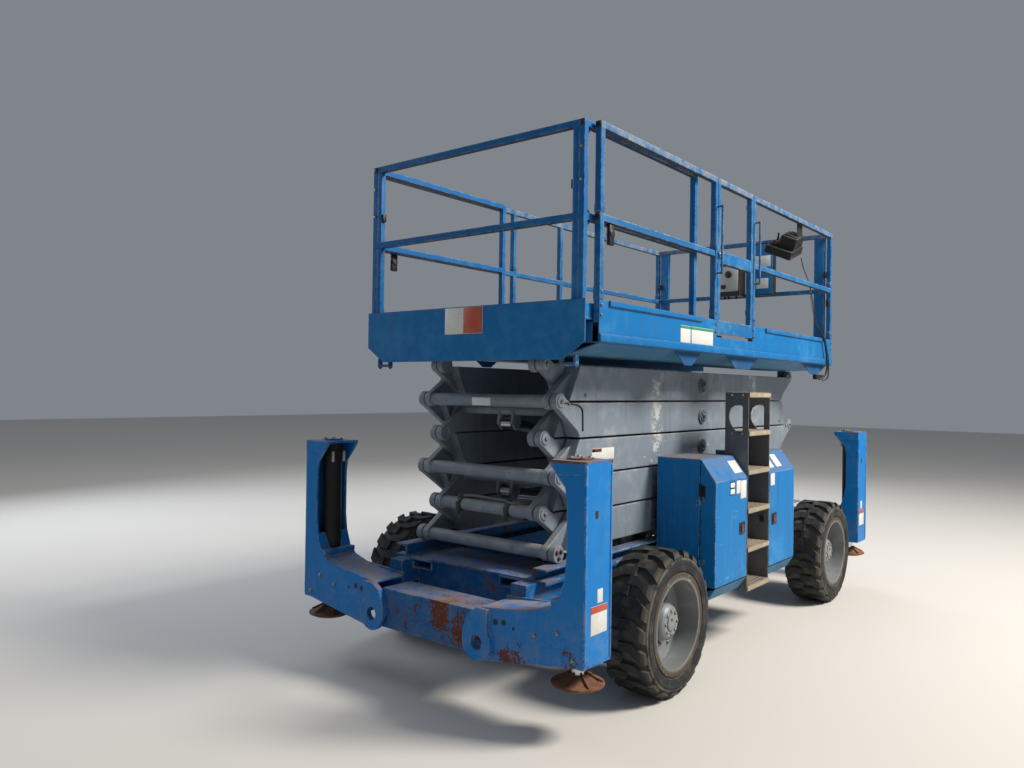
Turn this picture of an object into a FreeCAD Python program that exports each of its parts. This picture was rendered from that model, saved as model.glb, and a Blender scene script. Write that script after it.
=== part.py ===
"""Rough-terrain scissor lift, modelled as separate pieces in millimetres.

The origin is on the ground, midway between the axles on the machine's mid-plane.
+X points to the end where the deck extension slides out, +Y to the ladder side, +Z up.
The platform is stowed, the outrigger feet are raised and the wheels stand on the ground.
"""
import math
import os
import re

import FreeCAD
import Part
import Sketcher

doc = FreeCAD.newDocument("ScissorLift")
sheet = doc.addObject("Spreadsheet::Sheet", "dims")

# Driving dimensions: alias, value, what it is
DIMENSIONS = [
    ("wheel_base", 2884, "between the axle lines"),
    ("tyre_radius", 430, "over the lugs, and the axle height"),
    ("tyre_width", 315, "section width"),
    ("lug_tall", 26, "height of the tread lugs"),
    ("lug_half", 62, "half the reach of a bent tread lug round the tyre"),
    ("tyre_outer", 1148, "outer plane of the tyres from the mid-plane"),
    ("bead_radius", 270, "tyre bore on the rim's seat"),
    ("rim_lip", 302, "radius of the rim's lip"),
    ("rim_wall", 12, "thickness of the rim barrel and disc"),
    ("disc_inset", 150, "rim disc's outer face inboard of the tyre's outer plane"),
    ("hub_radius", 108, "planetary hub drum"),
    ("hub_inset", 58, "hub face inboard of the tyre's outer plane"),
    ("hub_deep", 60, "hub's seat inboard of the rim disc"),
    ("spindle_radius", 56, "wheel spindles"),
    ("king_inset", 278, "steering axis inboard of the tyre's outer plane"),
    ("kingpin_out", "=tyre_outer - king_inset", "steering axis from the mid-plane"),
    ("kingpin_radius", 24, "steering pins"),
    ("knuckle_radius", 66, "ball-shaped body of the steering knuckle"),
    ("yoke_wide", 96, "axle fork along the machine"),
    ("axle_wide", 130, "axle beam along the machine"),
    ("axle_high", 120, "axle beam height"),
    ("bowl_radius", 170, "differential housing"),
    ("trunnion_half", 186, "front axle's pivot plates from the axle line"),
    ("trunnion_radius", 45, "pivot on which the front axle tilts"),
    ("frame_half", 560, "outer faces of the frame rails from the mid-plane"),
    ("frame_tube", 110, "width of a frame rail"),
    ("frame_low", 540, "underside of the frame rails"),
    ("frame_top", 690, "top of the frame rails"),
    ("frame_plate", 12, "cross plates and tray plate"),
    ("pocket_in", 280, "inner side of the fork pockets"),
    ("track_out", 620, "outer edge of the slide tracks"),
    ("track_in", 522, "inner edge of the slide tracks"),
    ("track_top", 770, "running face of the slide tracks"),
    ("rigger_front", 2418, "face of the outrigger boxes from midway"),
    ("track_short", 358, "slide tracks short of the outriggers' face"),
    ("track_half", "=rigger_front - track_short", "end of a slide track from midway"),
    ("rigger_deep", 250, "outrigger box along the machine"),
    ("rigger_out", 1122, "outer face of the outrigger posts"),
    ("rigger_plate", 14, "plates of the outrigger boxes"),
    ("rigger_top", 1442, "top of the outrigger posts"),
    ("rigger_low", 405, "underside of the outrigger box at the post"),
    ("post_wide", 112, "width of the post's side plates"),
    ("post_in", "=rigger_out - post_wide", "inner edge of the post's side plates"),
    ("cap_wide", 222, "width of the post's top cap"),
    ("cap_in", "=rigger_out - cap_wide", "inner edge of the post's top cap"),
    ("arm_low", 360, "underside of the outrigger arm at its lug"),
    ("arm_top", 640, "top of the outrigger arm"),
    ("lug_out", 430, "centre of the lug hole from the mid-plane"),
    ("lug_height", 412, "centre of the lug hole above ground"),
    ("lug_radius", 102, "rounding of the lug"),
    ("lug_hole", 41, "radius of the front lug holes"),
    ("rear_hole", 38, "radius of the rear lug holes"),
    ("shackle_space", 66, "radius of the free space behind a lug hole"),
    ("disc_radius", 72, "raised disc on the post's cap"),
    ("lug_plate", 24, "thickness of the lug plate"),
    ("beam_low", 335, "underside of the end beams"),
    ("beam_top", 572, "top of the end beams"),
    ("leg_inset", 117, "leg cylinder axis inboard of the post's outer face"),
    ("leg_out", "=rigger_out - leg_inset", "leg cylinder axis from the mid-plane"),
    ("leg_barrel", 62, "radius of the leg cylinder's barrel"),
    ("leg_barrel_low", 728, "lower end of the leg cylinder's barrel"),
    ("leg_rod", 38, "radius of the leg rod"),
    ("foot_radius", 140, "radius of the foot pad"),
    ("foot_low", 272, "underside of the raised foot pad"),
    ("foot_deep", 66, "height of the dished foot pad"),
    ("pivot_reach", 1870, "end pivots of the scissor arms from midway"),
    ("pivot_base", 826, "height of the lowest pivots"),
    ("level_pitch", 226, "height between pivots, stowed"),
    ("beam_height", 212, "height of a scissor arm"),
    ("outer_arm_out", 572, "outer face of the outer arms"),
    ("inner_arm_out", 460, "outer face of the inner arms"),
    ("arm_thick", 100, "width of a scissor arm"),
    ("long_cut", 92, "arm's long edge ends this far short of the pivot"),
    ("short_cut", 205, "arm's short edge ends this far short of the pivot"),
    ("boss_radius", 50, "round end of an arm's pivot plate"),
    ("plate_thick", 44, "thickness of an arm's pivot plate"),
    ("pin_radius", 30, "pivot pins"),
    ("pin_fit", 0.1, "radial running clearance of the pins"),
    ("tube_radius", 41, "cross tubes between the arms"),
    ("centre_pin", 35, "centre pins"),
    ("roller_radius", 52, "rollers at the sliding ends"),
    ("ram_pin", 28, "cross tube that carries a lift cylinder"),
    ("ram_pin_drop", 60, "that tube below the arm's centre"),
    ("ram_barrel", 62, "radius of the lift cylinder"),
    ("ram_barrel_long", 1180, "length of the lift cylinder's barrel from its pivot"),
    ("ram_rod", 38, "radius of the lift rod"),
    ("ram_eye", 42, "radius of the rod's eye"),
    ("ram_short", 220, "rod's eye short of the arm's end pivot"),
    ("ram_reach", "=pivot_reach - ram_short", "rod's eye ahead of the arm's centre"),
    ("ram_eye_drop", 40, "rod's eye below the next arm's centre"),
    ("deck_front", 2005, "front of the main deck"),
    ("deck_rear", 1985, "rear of the main deck, behind midway"),
    ("deck_half", 920, "outer faces of the deck's side plates"),
    ("deck_sill", 2066, "underside of the deck's side plates"),
    ("deck_floor", 2185, "top of the main deck's floor"),
    ("deck_skin", 6, "sheet of the deck's sides and floor"),
    ("toe_high", 120, "toe boards above the floor"),
    ("toe_top", "=deck_floor + toe_high", "top of the toe boards"),
    ("lip_out", 12, "folded lip outside the toe boards"),
    ("under_low", 2012, "underside of the deck's frame"),
    ("under_half", 700, "lower edge of the deck's sloping side frame"),
    ("rail_tube", 38, "square tube of the guard rails"),
    ("mid_high", 460, "middle rails above the toe boards"),
    ("top_high", 535, "top of the rails above the middle rails"),
    ("rail_mid", "=toe_top + mid_high", "centre of the middle rails"),
    ("rail_top", "=rail_mid + top_high", "top of the guard rails"),
    ("grab_out", 963, "grab rods beside the gate from the mid-plane"),
    ("grab_radius", 8, "grab rods"),
    ("gate_front", 500, "front edge of the gate opening"),
    ("gate_rear", -130, "rear edge of the gate opening"),
    ("gate_gap", 8, "clearance round the gate"),
    ("ext_face", 2100, "front face of the extension's end plate"),
    ("ext_half", 888, "half width of the extension"),
    ("ext_rear", 320, "rear edge of the extension's floor"),
    ("ext_low", 1970, "underside of the extension's end plate"),
    ("ext_lift", 8, "extension floor above the main floor"),
    ("ext_board", 12, "thickness of the extension's floor"),
    ("slide_fit", 0.3, "running clearance of the extension's skids"),
    ("ext_post", 710, "rear post of the extension's rails"),
    ("cabinet_end", 785, "front face of the cabinets from the ladder's middle line"),
    ("cabinet_in", 626, "inner wall of the cabinets"),
    ("cabinet_hinge", 952, "door hinge line from the mid-plane"),
    ("cabinet_out", 1060, "outer face of the cabinets"),
    ("cabinet_top", 1350, "top of the cabinets"),
    ("cabinet_shoulder", 1203, "lower edge of the sloping top edge"),
    ("cabinet_low", 505, "lower edge of the doors"),
    ("skirt_low", 415, "lower edge of the skirt below the doors"),
    ("cabinet_skin", 4, "sheet of the cabinets"),
    ("door_gap", 6, "clearance round a door"),
    ("hinge_line", 949, "door hinge axis from the mid-plane"),
    ("hinge_off", 9, "door hinge axis off the cabinet's end face"),
    ("hinge_radius", 8, "door hinge barrels"),
    ("hinge_tall", 30, "height of one hinge barrel"),
    ("hinge_pin", 4, "hinge pins"),
    ("ladder_mid", 65, "middle of the ladder along the machine"),
    ("ladder_wide", 400, "ladder column along the machine"),
    ("ladder_in", 886, "back of the ladder column"),
    ("ladder_top", 1800, "top of the ladder column"),
    ("ladder_low", 385, "underside of the ladder column"),
    ("tread_pitch", 275, "between treads"),
    ("engine_long", 620, "engine block along the machine"),
    ("engine_high", 560, "engine block's height"),
]
ALIASES = set()
for row, (alias, value, meaning) in enumerate(DIMENSIONS, start=1):
    sheet.set(f"A{row}", meaning)
    sheet.set(f"B{row}", str(value))
    sheet.setAlias(f"B{row}", alias)
    ALIASES.add(alias)
doc.recompute()

TURNS = {
    "X": FreeCAD.Rotation(FreeCAD.Vector(0, 1, 0), 90),
    "Y": FreeCAD.Rotation(FreeCAD.Vector(1, 0, 0), -90),
    "Z": FreeCAD.Rotation(),
}
SKETCH_TURNS = {
    "XY": FreeCAD.Rotation(),
    "XZ": FreeCAD.Rotation(FreeCAD.Vector(1, 0, 0), 90),
    "YZ": FreeCAD.Rotation(FreeCAD.Vector(1, 1, 1), 120),
}
NORMALS = {"XY": (0, 0, 1), "XZ": (0, 1, 0), "YZ": (1, 0, 0)}
# Radius in mm of the ring on which an outline's corners are drawn before their constraints place them
FIRST_RING = 100
nodes = []


def formula(text):
    """The expression with every dimension's name read from the sheet."""
    return re.sub(r"[A-Za-z_]+", lambda m: f"dims.{m[0]}" if m[0] in ALIASES else m[0], str(text))


def bind(item, prop, text):
    item.setExpression(prop, formula(text))


def place(item, x, y, z, rotation=None):
    """Put an item at three expressions."""
    item.Placement = FreeCAD.Placement(FreeCAD.Vector(), rotation or FreeCAD.Rotation())
    for letter, text in zip("xyz", (x, y, z)):
        bind(item, f"Placement.Base.{letter}", text)
    return item


def box(name, x, y, z):
    """Block between two expressions along each axis."""
    solid = doc.addObject("Part::Box", name)
    for prop, (low, high) in zip(("Length", "Width", "Height"), (x, y, z)):
        bind(solid, prop, f"({high}) - ({low})")
    return place(solid, x[0], y[0], z[0])


def rod(name, axis, across, radius, span):
    """Cylinder along an axis: its two other coordinates, radius and span."""
    solid = doc.addObject("Part::Cylinder", name)
    bind(solid, "Radius", radius)
    bind(solid, "Height", f"({span[1]}) - ({span[0]})")
    at = list(across)
    at.insert("XYZ".index(axis), span[0])
    return place(solid, *at, rotation=TURNS[axis])


def outline(name, plane, points, offset="0"):
    """Closed sketch whose corners are pairs of expressions."""
    sketch = doc.addObject("Sketcher::SketchObject", name)
    count = len(points)
    ring = [FreeCAD.Vector(FIRST_RING * math.cos(math.tau * i / count), FIRST_RING * math.sin(math.tau * i / count), 0)
            for i in range(count)]
    sketch.addGeometry([Part.LineSegment(ring[i], ring[(i + 1) % count]) for i in range(count)], False)
    rules = [Sketcher.Constraint("Coincident", i, 2, (i + 1) % count, 1) for i in range(count)]
    for i, start in enumerate(ring):
        rules += [Sketcher.Constraint("DistanceX", i, 1, start.x), Sketcher.Constraint("DistanceY", i, 1, start.y)]
    sketch.addConstraint(rules)
    for i, pair in enumerate(points):
        for shift, text in enumerate(pair):
            bind(sketch, f"Constraints[{count + 2 * i + shift}]", text)
    at = {"XY": ("0", "0", offset), "XZ": ("0", offset, "0"), "YZ": (offset, "0", "0")}[plane]
    return place(sketch, *at, rotation=SKETCH_TURNS[plane])


def prism(name, plane, points, span):
    """Outline in a plane, thickened between two expressions along its normal."""
    solid = doc.addObject("Part::Extrusion", name)
    solid.Base = outline(name + "Outline", plane, points, span[0])
    solid.DirMode = "Custom"
    solid.Dir = FreeCAD.Vector(*NORMALS[plane])
    bind(solid, "LengthFwd", f"({span[1]}) - ({span[0]})")
    solid.Solid = True
    return solid


def turned(name, axis_at, points, axis="Y"):
    """Outline of radius and station pairs, turned about a line through axis_at."""
    solid = doc.addObject("Part::Revolution", name)
    plane = {"Y": "XY", "Z": "XZ"}[axis]
    sketch = outline(name + "Outline", plane, points)
    for letter, text in zip("xyz", axis_at):
        bind(sketch, f"Placement.Base.{letter}", text)
        bind(solid, f"Base.{letter}", text)
    solid.Source = sketch
    solid.Axis = FreeCAD.Vector(*{"Y": (0, 1, 0), "Z": (0, 0, 1)}[axis])
    solid.Angle = 360
    solid.Solid = True
    return solid


def fuse(name, pieces):
    joined = doc.addObject("Part::MultiFuse", name)
    joined.Shapes = pieces
    joined.Refine = True
    return joined


def cut(name, base, tools):
    """Base less one or more tools."""
    rest = doc.addObject("Part::Cut", name)
    rest.Base = base
    rest.Tool = tools[0] if len(tools) == 1 else fuse(name + "Tools", tools)
    rest.Refine = True
    return rest


def sided(side, low, high):
    """Span mirrored onto the side given by 1 or -1, low end first."""
    pair = (f"{side} * ({low})", f"{side} * ({high})")
    return pair if side > 0 else pair[::-1]


def node(label, item):
    """Mark an item as a finished piece of the lift."""
    item.Label = label
    nodes.append(item)
    return item


def group(label, pieces):
    """Separate solids that belong to one node."""
    joined = doc.addObject("Part::Compound", "Group")
    joined.Links = pieces
    return node(label, joined)


# Wheels
HALF_SECTION = [
    ("bead_radius", "20"), ("rim_lip + 2", "20"), ("rim_lip + 12", "5"), ("rim_lip + 58", "0"),
    ("tyre_radius - 48", "5"), ("tyre_radius - lug_tall - 8", "24"), ("tyre_radius - lug_tall", "70"),
]
TYRE_SECTION = HALF_SECTION + [(radius, f"tyre_width - ({inset})") for radius, inset in reversed(HALF_SECTION)]
RIM_SECTION = [
    ("rim_lip", "8"), ("rim_lip", "20"), ("bead_radius", "20"), ("bead_radius", "tyre_width - 20"),
    ("rim_lip", "tyre_width - 20"), ("rim_lip", "tyre_width - 8"), ("bead_radius - rim_wall", "tyre_width - 8"),
    ("bead_radius - rim_wall", "disc_inset + rim_wall"), ("hub_radius", "disc_inset + rim_wall"),
    ("hub_radius", "disc_inset + hub_deep"), ("0", "disc_inset + hub_deep"), ("0", "hub_inset"),
    ("hub_radius - 26", "hub_inset"), ("hub_radius - 10", "hub_inset + 12"), ("hub_radius", "hub_inset + 30"),
    ("hub_radius", "disc_inset"), ("bead_radius - rim_wall", "disc_inset"), ("bead_radius - rim_wall", "8"),
]
LUGS = 21


def copied(name, item, rotation=None):
    """The same shape at another place."""
    copy = doc.addObject("Part::Compound", name)
    copy.Links = [item]
    copy.Placement = FreeCAD.Placement(FreeCAD.Vector(), rotation or FreeCAD.Rotation())
    return copy


def tread_lug(name, row):
    """Bent lug with a flat top, standing over the axle, of the outer row (1) or the inner (-1)."""
    def across(offset):
        return f"{row} * ({offset}) - tyre_width / 2"

    top = "sqrt(tyre_radius * tyre_radius - lug_half * lug_half)"
    edge = "tyre_width / 2 - 8"
    bar = prism(name + "Bar", "XY", [
        ("-lug_half", across("-8")), ("-4", across("-8")), ("-4", across("56")), ("lug_half", across(edge)),
        ("-4", across(edge)), ("-lug_half", across("78"))], ("tyre_radius - lug_tall - 36", top))
    slope = prism(name + "Slope", "YZ", [
        (across("tyre_width / 2 - 36"), "tyre_radius + 1"), (across("tyre_width / 2 - 12"), "tyre_radius - 26"),
        (across("tyre_width / 2 - 7"), "tyre_radius - lug_tall - 37"), (across("tyre_width / 2 + 5"), "tyre_radius - lug_tall - 37"),
        (across("tyre_width / 2 + 5"), "tyre_radius + 1")], ("-lug_half - 1", "lug_half + 1"))
    return cut(name, bar, [slope])


def upright_wheel(name, section):
    """Body of a left wheel, its outer plane at zero and its axis through the origin."""
    return turned(name, ("0", "0", "0"), [(radius, f"-({inset})") for radius, inset in section])


WHEELS = [("front_left", 1, 1), ("front_right", 1, -1), ("rear_left", -1, 1), ("rear_right", -1, -1)]
lug_ring = [upright_wheel("Carcass", TYRE_SECTION)]
for row in (1, -1):
    lug = tread_lug("TreadLug", row)
    for index in range(LUGS):
        turn = 180 + (index + (0 if row > 0 else 0.5)) * 360 / LUGS
        lug_ring.append(copied("LugCopy", lug, FreeCAD.Rotation(FreeCAD.Vector(0, 1, 0), turn)))
tyre = copied("TyreTurned", fuse("TyreBody", lug_ring), FreeCAD.Rotation(FreeCAD.Vector(0, 1, 0), 8))
bind(tyre, "Placement.Rotation.Angle", "asin(lug_half / tyre_radius)")
rim = upright_wheel("RimBody", RIM_SECTION)
for corner, end, side in WHEELS:
    outward = FreeCAD.Rotation(FreeCAD.Vector(0, 0, 1), 0 if side > 0 else 180)
    for kind, body in (("tyre", tyre), ("rim", rim)):
        wheel = copied("Wheel", body, outward)
        for letter, where in zip("xyz", (f"{end} * wheel_base / 2", f"{side} * tyre_outer", "tyre_radius")):
            bind(wheel, f"Placement.Base.{letter}", where)
        node(f"{kind}_{corner}", wheel)

# Axles and steering knuckles
def axle_core(name, end, half):
    """Beam with the round differential housing in its middle."""
    line = f"{end} * wheel_base / 2"
    beam = box(name + "Beam", (f"{line} - axle_wide / 2", f"{line} + axle_wide / 2"), (f"-({half})", half),
               ("tyre_radius - axle_high / 2", "tyre_radius + axle_high / 2"))
    bowl = doc.addObject("Part::Sphere", name + "Bowl")
    bind(bowl, "Radius", "bowl_radius")
    place(bowl, line, "0", "tyre_radius")
    towards_middle = sided(end, "wheel_base / 2 - bowl_radius - 60", "wheel_base / 2")
    snout = rod(name + "Snout", "X", ("0", "tyre_radius"), "bowl_radius / 2", towards_middle)
    return [beam, bowl, snout]


YOKE_GAP = "knuckle_radius + 5"
SPINDLE_END = "tyre_outer - disc_inset - hub_deep - slide_fit"
front_line = "wheel_base / 2"
front_parts = axle_core("FrontAxle", 1, "kingpin_out - knuckle_radius - 30")
for side in (1, -1):
    ends = sided(side, "kingpin_out - knuckle_radius - 60", "kingpin_out + 34")
    block = box("Yoke", (f"{front_line} - yoke_wide / 2", f"{front_line} + yoke_wide / 2"), ends,
                (f"tyre_radius - ({YOKE_GAP}) - 34", f"tyre_radius + ({YOKE_GAP}) + 34"))
    throat = box("YokeThroat", (f"{front_line} - yoke_wide", f"{front_line} + yoke_wide"),
                 sided(side, "kingpin_out - knuckle_radius - 14", "kingpin_out + 60"),
                 (f"tyre_radius - ({YOKE_GAP})", f"tyre_radius + ({YOKE_GAP})"))
    fork = cut("YokeFork", block, [throat])
    pins = [rod("Kingpin", "Z", (front_line, f"{side} * kingpin_out"), "kingpin_radius", span)
            for span in ((f"tyre_radius + ({YOKE_GAP}) - 25", f"tyre_radius + ({YOKE_GAP}) + 46"),
                         (f"tyre_radius - ({YOKE_GAP}) - 46", f"tyre_radius - ({YOKE_GAP}) + 25"))]
    front_parts += [fork] + pins
trunnion = rod("Trunnion", "X", ("0", "frame_low + 60"), "trunnion_radius",
               (f"{front_line} - trunnion_half - frame_plate", f"{front_line} + trunnion_half + frame_plate"))
front_parts += [trunnion, box("TrunnionPost", (f"{front_line} - 60", f"{front_line} + 60"), ("-60", "60"),
                              ("tyre_radius", "frame_low + 60"))]
node("front_axle", fuse("FrontAxle", front_parts))

for corner, end, side in WHEELS[:2]:
    ball = doc.addObject("Part::Sphere", "KnuckleBall")
    bind(ball, "Radius", "knuckle_radius")
    place(ball, front_line, f"{side} * kingpin_out", "tyre_radius")
    spindle = rod("Spindle", "Y", (front_line, "tyre_radius"), "spindle_radius", sided(side, "kingpin_out", SPINDLE_END))
    arm = box("SteerArm", (f"{front_line} - 190", f"{front_line} - 40"),
              (f"{side} * (kingpin_out - 20) - 14", f"{side} * (kingpin_out - 20) + 14"),
              ("tyre_radius - 14", "tyre_radius + 14"))
    bores = [rod("KingpinBore", "Z", (front_line, f"{side} * kingpin_out"), "kingpin_radius + pin_fit", span)
             for span in ((f"tyre_radius + ({YOKE_GAP}) - 29", "tyre_radius + 200"),
                          ("tyre_radius - 200", f"tyre_radius - ({YOKE_GAP}) + 29"))]
    node(f"{corner}_knuckle", cut("Knuckle", fuse("KnuckleBody", [ball, spindle, arm]), bores))

RAIL_SPAN = ("frame_half - frame_tube", "frame_half")
rear_line = "-wheel_base / 2"
rear_parts = axle_core("RearAxle", -1, "tyre_outer - disc_inset - 140")
rear_parts.append(rod("RearStub", "Y", (rear_line, "tyre_radius"), "spindle_radius",
                      (f"-({SPINDLE_END})", SPINDLE_END)))
for side in (1, -1):
    rear_parts.append(box("AxleSeat", (f"{rear_line} - 90", f"{rear_line} + 90"), sided(side, *RAIL_SPAN),
                          ("tyre_radius + axle_high / 2 - 10", "frame_low")))
node("rear_axle", fuse("RearAxle", rear_parts))

# Main frame
frame_parts, hollows = [], []
for side in (1, -1):
    frame_parts.append(box("FrameRail", ("rigger_deep - rigger_front", "rigger_front - rigger_deep"),
                           sided(side, *RAIL_SPAN), ("frame_low", "frame_top")))
    track = box("Track", ("-track_half", "track_half"), sided(side, "track_in", "track_out"), ("frame_top", "track_top"))
    groove = box("TrackGroove", ("-track_half - 1", "track_half + 1"), sided(side, "track_in + 12", "track_out + 1"),
                 ("frame_top + 12", "track_top - 12"))
    frame_parts.append(cut("TrackChannel", track, [groove]))
    frame_parts.append(box("TrackShelf", ("-track_half", "track_half"), sided(side, "frame_half - 5", "track_out"),
                           ("frame_top - 12", "frame_top")))
    ear_y = sided(side, "inner_arm_out - plate_thick", "inner_arm_out")
    frame_parts += [
        rod("BaseEarBoss", "Y", ("-pivot_reach", "pivot_base"), "boss_radius", ear_y),
        prism("BaseEarWeb", "XZ", [("-pivot_reach - 90", "frame_top"), ("-pivot_reach + 70", "frame_top"),
                                   ("-pivot_reach + boss_radius - 2", "pivot_base"),
                                   ("-pivot_reach - boss_radius + 2", "pivot_base")], ear_y),
        rod("BasePin", "Y", ("-pivot_reach", "pivot_base"), "pin_radius",
            sided(side, "inner_arm_out - arm_thick + 4", "inner_arm_out"))]
CROSS_PLATES = [  # station along X, lower edge
    ("track_half - 60", "lug_height + 58"), ("wheel_base / 2 + trunnion_half", "frame_low"),
    ("wheel_base / 2 - trunnion_half - frame_plate", "frame_low"),
    ("-wheel_base / 2 + 250", "frame_low"), ("-track_half + 60", "lug_height + 58"),
]
for station, low in CROSS_PLATES:
    frame_parts.append(box("CrossPlate", (station, f"{station} + frame_plate"),
                           ("frame_tube - frame_half - 5", "frame_half - frame_tube + 5"), (low, "frame_top")))
for end in (1, -1):
    frame_parts.append(box("TrayPlate", sided(end, "track_half - 430", "track_half"), ("-frame_half", "frame_half"),
                           ("frame_top", "frame_top + frame_plate")))
    for side in (1, -1):
        frame_parts.append(box("ForkPocket", sided(end, "track_half - 300", "track_half + 10"),
                               sided(side, "pocket_in", "frame_half - frame_tube + 2"), ("frame_top - 62", "frame_top + 2")))
        hollows.append(box("ForkPocketHollow", sided(end, "track_half - 310", "track_half + 20"),
                           sided(side, "pocket_in + 10", "frame_half - frame_tube - 8"),
                           ("frame_top - 52", "frame_top - 8")))
trunnion_bore = rod("TrunnionBore", "X", ("0", "frame_low + 60"), "trunnion_radius + pin_fit",
                    (f"{front_line} - trunnion_half - 40", f"{front_line} + trunnion_half + 40"))
node("chassis_frame", cut("Frame", fuse("FrameBody", frame_parts), hollows + [trunnion_bore]))

# End beams and outriggers
for name, end in (("front", 1), ("rear", -1)):
    node(f"{name}_cross_beam", box("EndBeam", sided(end, "rigger_front - rigger_deep", "rigger_front - rigger_plate"),
                                   ("60 - lug_out", "lug_out - 60"), ("beam_low", "beam_top")))

SIDE_PLATE = [  # out from the mid-plane, height
    ("lug_out", "lug_height - lug_radius"), ("rigger_out - 60", "rigger_low"), ("rigger_out", "rigger_low"),
    ("rigger_out", "rigger_top"), ("cap_in", "rigger_top"), ("cap_in", "rigger_top - 24"),
    ("cap_in + 45", "rigger_top - 78"), ("post_in - 12", "rigger_top - 140"), ("post_in", "rigger_top - 220"),
    ("post_in", "arm_top + 300"), ("post_in - 14", "arm_top + 190"), ("post_in - 50", "arm_top + 90"),
    ("post_in - 110", "arm_top + 36"), ("post_in - 230", "arm_top"), ("lug_out", "lug_height + 190"),
    ("lug_out - 62", "lug_height + 150"), ("lug_out - lug_radius", "lug_height + 50"),
    ("lug_out - lug_radius", "lug_height"),
]


def outrigger(corner, end, side):
    """One outrigger box: two side plates, outer web, cap and arm, open inboard."""
    def across(points):
        return [(f"{side} * ({out})", up) for out, up in points]

    def along(low, high):
        return sided(end, f"rigger_front - rigger_deep + ({low})", f"rigger_front - rigger_deep + ({high})")

    def out_span(low, high):
        return sided(side, low, high)

    plates = [prism("SidePlate", "YZ", across(SIDE_PLATE), along("rigger_deep - rigger_plate", "rigger_deep")),
              prism("SidePlate", "YZ", across([("lug_out", "arm_low + 20")] + SIDE_PLATE[1:14]
                                              + [("lug_out", "arm_top - 20")]),
                    along("0", "rigger_plate"))]
    web = box("OuterWeb", along("0", "rigger_deep"), out_span("rigger_out - rigger_plate", "rigger_out"),
              ("rigger_low", "rigger_top"))
    cap = box("PostCap", along("0", "rigger_deep"), out_span("cap_in", "rigger_out"),
              ("rigger_top - rigger_plate", "rigger_top"))
    floor = box("ArmFloor", along("0", "rigger_deep"), out_span("lug_out", "rigger_out"),
                ("rigger_low", "rigger_low + rigger_plate"))
    lid = prism("ArmLid", "YZ", across([
        ("lug_out", "lug_height + 190"), ("post_in - 230", "arm_top"), ("post_in - 110", "arm_top + 36"),
        ("post_in - 50", "arm_top + 90"), ("post_in - 14", "arm_top + 190"), ("post_in", "arm_top + 190"),
        ("post_in - 37", "arm_top + 84"), ("post_in - 102", "arm_top + 24"), ("post_in - 228", "arm_top - rigger_plate"),
        ("lug_out", "lug_height + 190 - rigger_plate")]), along("0", "rigger_deep"))
    disc = rod("CapDisc", "Z", (f"{end} * (rigger_front - rigger_deep / 2)", f"{side} * leg_out"), "disc_radius",
               ("rigger_top - 2", "rigger_top + 10"))
    barrel_seat = box("BarrelSeat", along("0", "rigger_deep"), out_span("leg_out - 90", "rigger_out"),
                      ("leg_barrel_low - 30", "leg_barrel_low"))
    body = fuse("OutriggerBody", plates + [web, cap, disc, floor, lid, barrel_seat])
    centre = f"{end} * (rigger_front - rigger_deep / 2)"
    rod_hole = rod("RodHole", "Z", (centre, f"{side} * leg_out"), "leg_rod + 6",
                   ("rigger_low - 5", "leg_barrel_low + 1"))
    barrel_space = rod("BarrelSpace", "Z", (centre, f"{side} * leg_out"), "leg_barrel + slide_fit",
                       ("leg_barrel_low", "rigger_top - rigger_plate"))
    lug = rod("Lug", "X", (f"{side} * lug_out", "lug_height"), "lug_radius", along("rigger_deep", "rigger_deep + lug_plate"))
    lug_tail = prism("LugTail", "YZ", across([("lug_out", "lug_height - lug_radius"),
                                             ("lug_out + 75", "lug_height - 60"),
                                             ("lug_out + 75", "lug_height + 190"), ("lug_out", "lug_height + 190"),
                                             ("lug_out - 62", "lug_height + 150"),
                                             ("lug_out - lug_radius", "lug_height + 50"),
                                             ("lug_out - lug_radius", "lug_height")]),
                     along("rigger_deep", "rigger_deep + lug_plate"))
    lug_hole = rod("LugHole", "X", (f"{side} * lug_out", "lug_height"), "lug_hole" if end > 0 else "rear_hole",
                   along("rigger_deep - 30", "rigger_deep + lug_plate + 5"))
    shackle = rod("ShackleSpace", "X", (f"{side} * lug_out", "lug_height"), "shackle_space",
                  along("-5", "rigger_deep - rigger_plate"))
    beam_space = box("BeamSpace", along("-5", "rigger_deep - rigger_plate"), out_span("0", "lug_out"),
                     ("0", "arm_top"))
    return cut("Outrigger", fuse("OutriggerAll", [body, lug, lug_tail]), [rod_hole, barrel_space, lug_hole, shackle, beam_space])


barrels = []
for corner, end, side in WHEELS:
    centre = (f"{end} * (rigger_front - rigger_deep / 2)", f"{side} * leg_out")
    node(f"outrigger_{corner}", outrigger(corner, end, side))
    barrel = rod("LegBarrel", "Z", centre, "leg_barrel", ("leg_barrel_low", "rigger_top - rigger_plate"))
    bore = rod("LegBore", "Z", centre, "leg_rod + pin_fit", ("leg_barrel_low - 1", "rigger_top - rigger_plate - 40"))
    barrels.append(cut("LegCylinder", barrel, [bore]))
    foot = turned("Foot", (*centre, "0"), [
        ("0", "foot_low"), ("foot_radius - 30", "foot_low"), ("foot_radius", "foot_low + 14"),
        ("foot_radius", "foot_low + 24"), ("foot_radius - 40", "foot_low + 34"), ("60", "foot_low + foot_deep - 8"),
        ("leg_rod", "foot_low + foot_deep"), ("leg_rod", "rigger_top - 110"), ("0", "rigger_top - 110")], axis="Z")
    node(f"foot_{corner}", foot)
group("leg_cylinders", barrels)

# Side cabinets, doors and ladder
DOOR_HINGES = ("cabinet_low + 120", "cabinet_shoulder - 160")


def hinge_plane(low, high, at_high):
    """Outer face of the end wall that carries the door hinges."""
    return high if at_high else low


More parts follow.
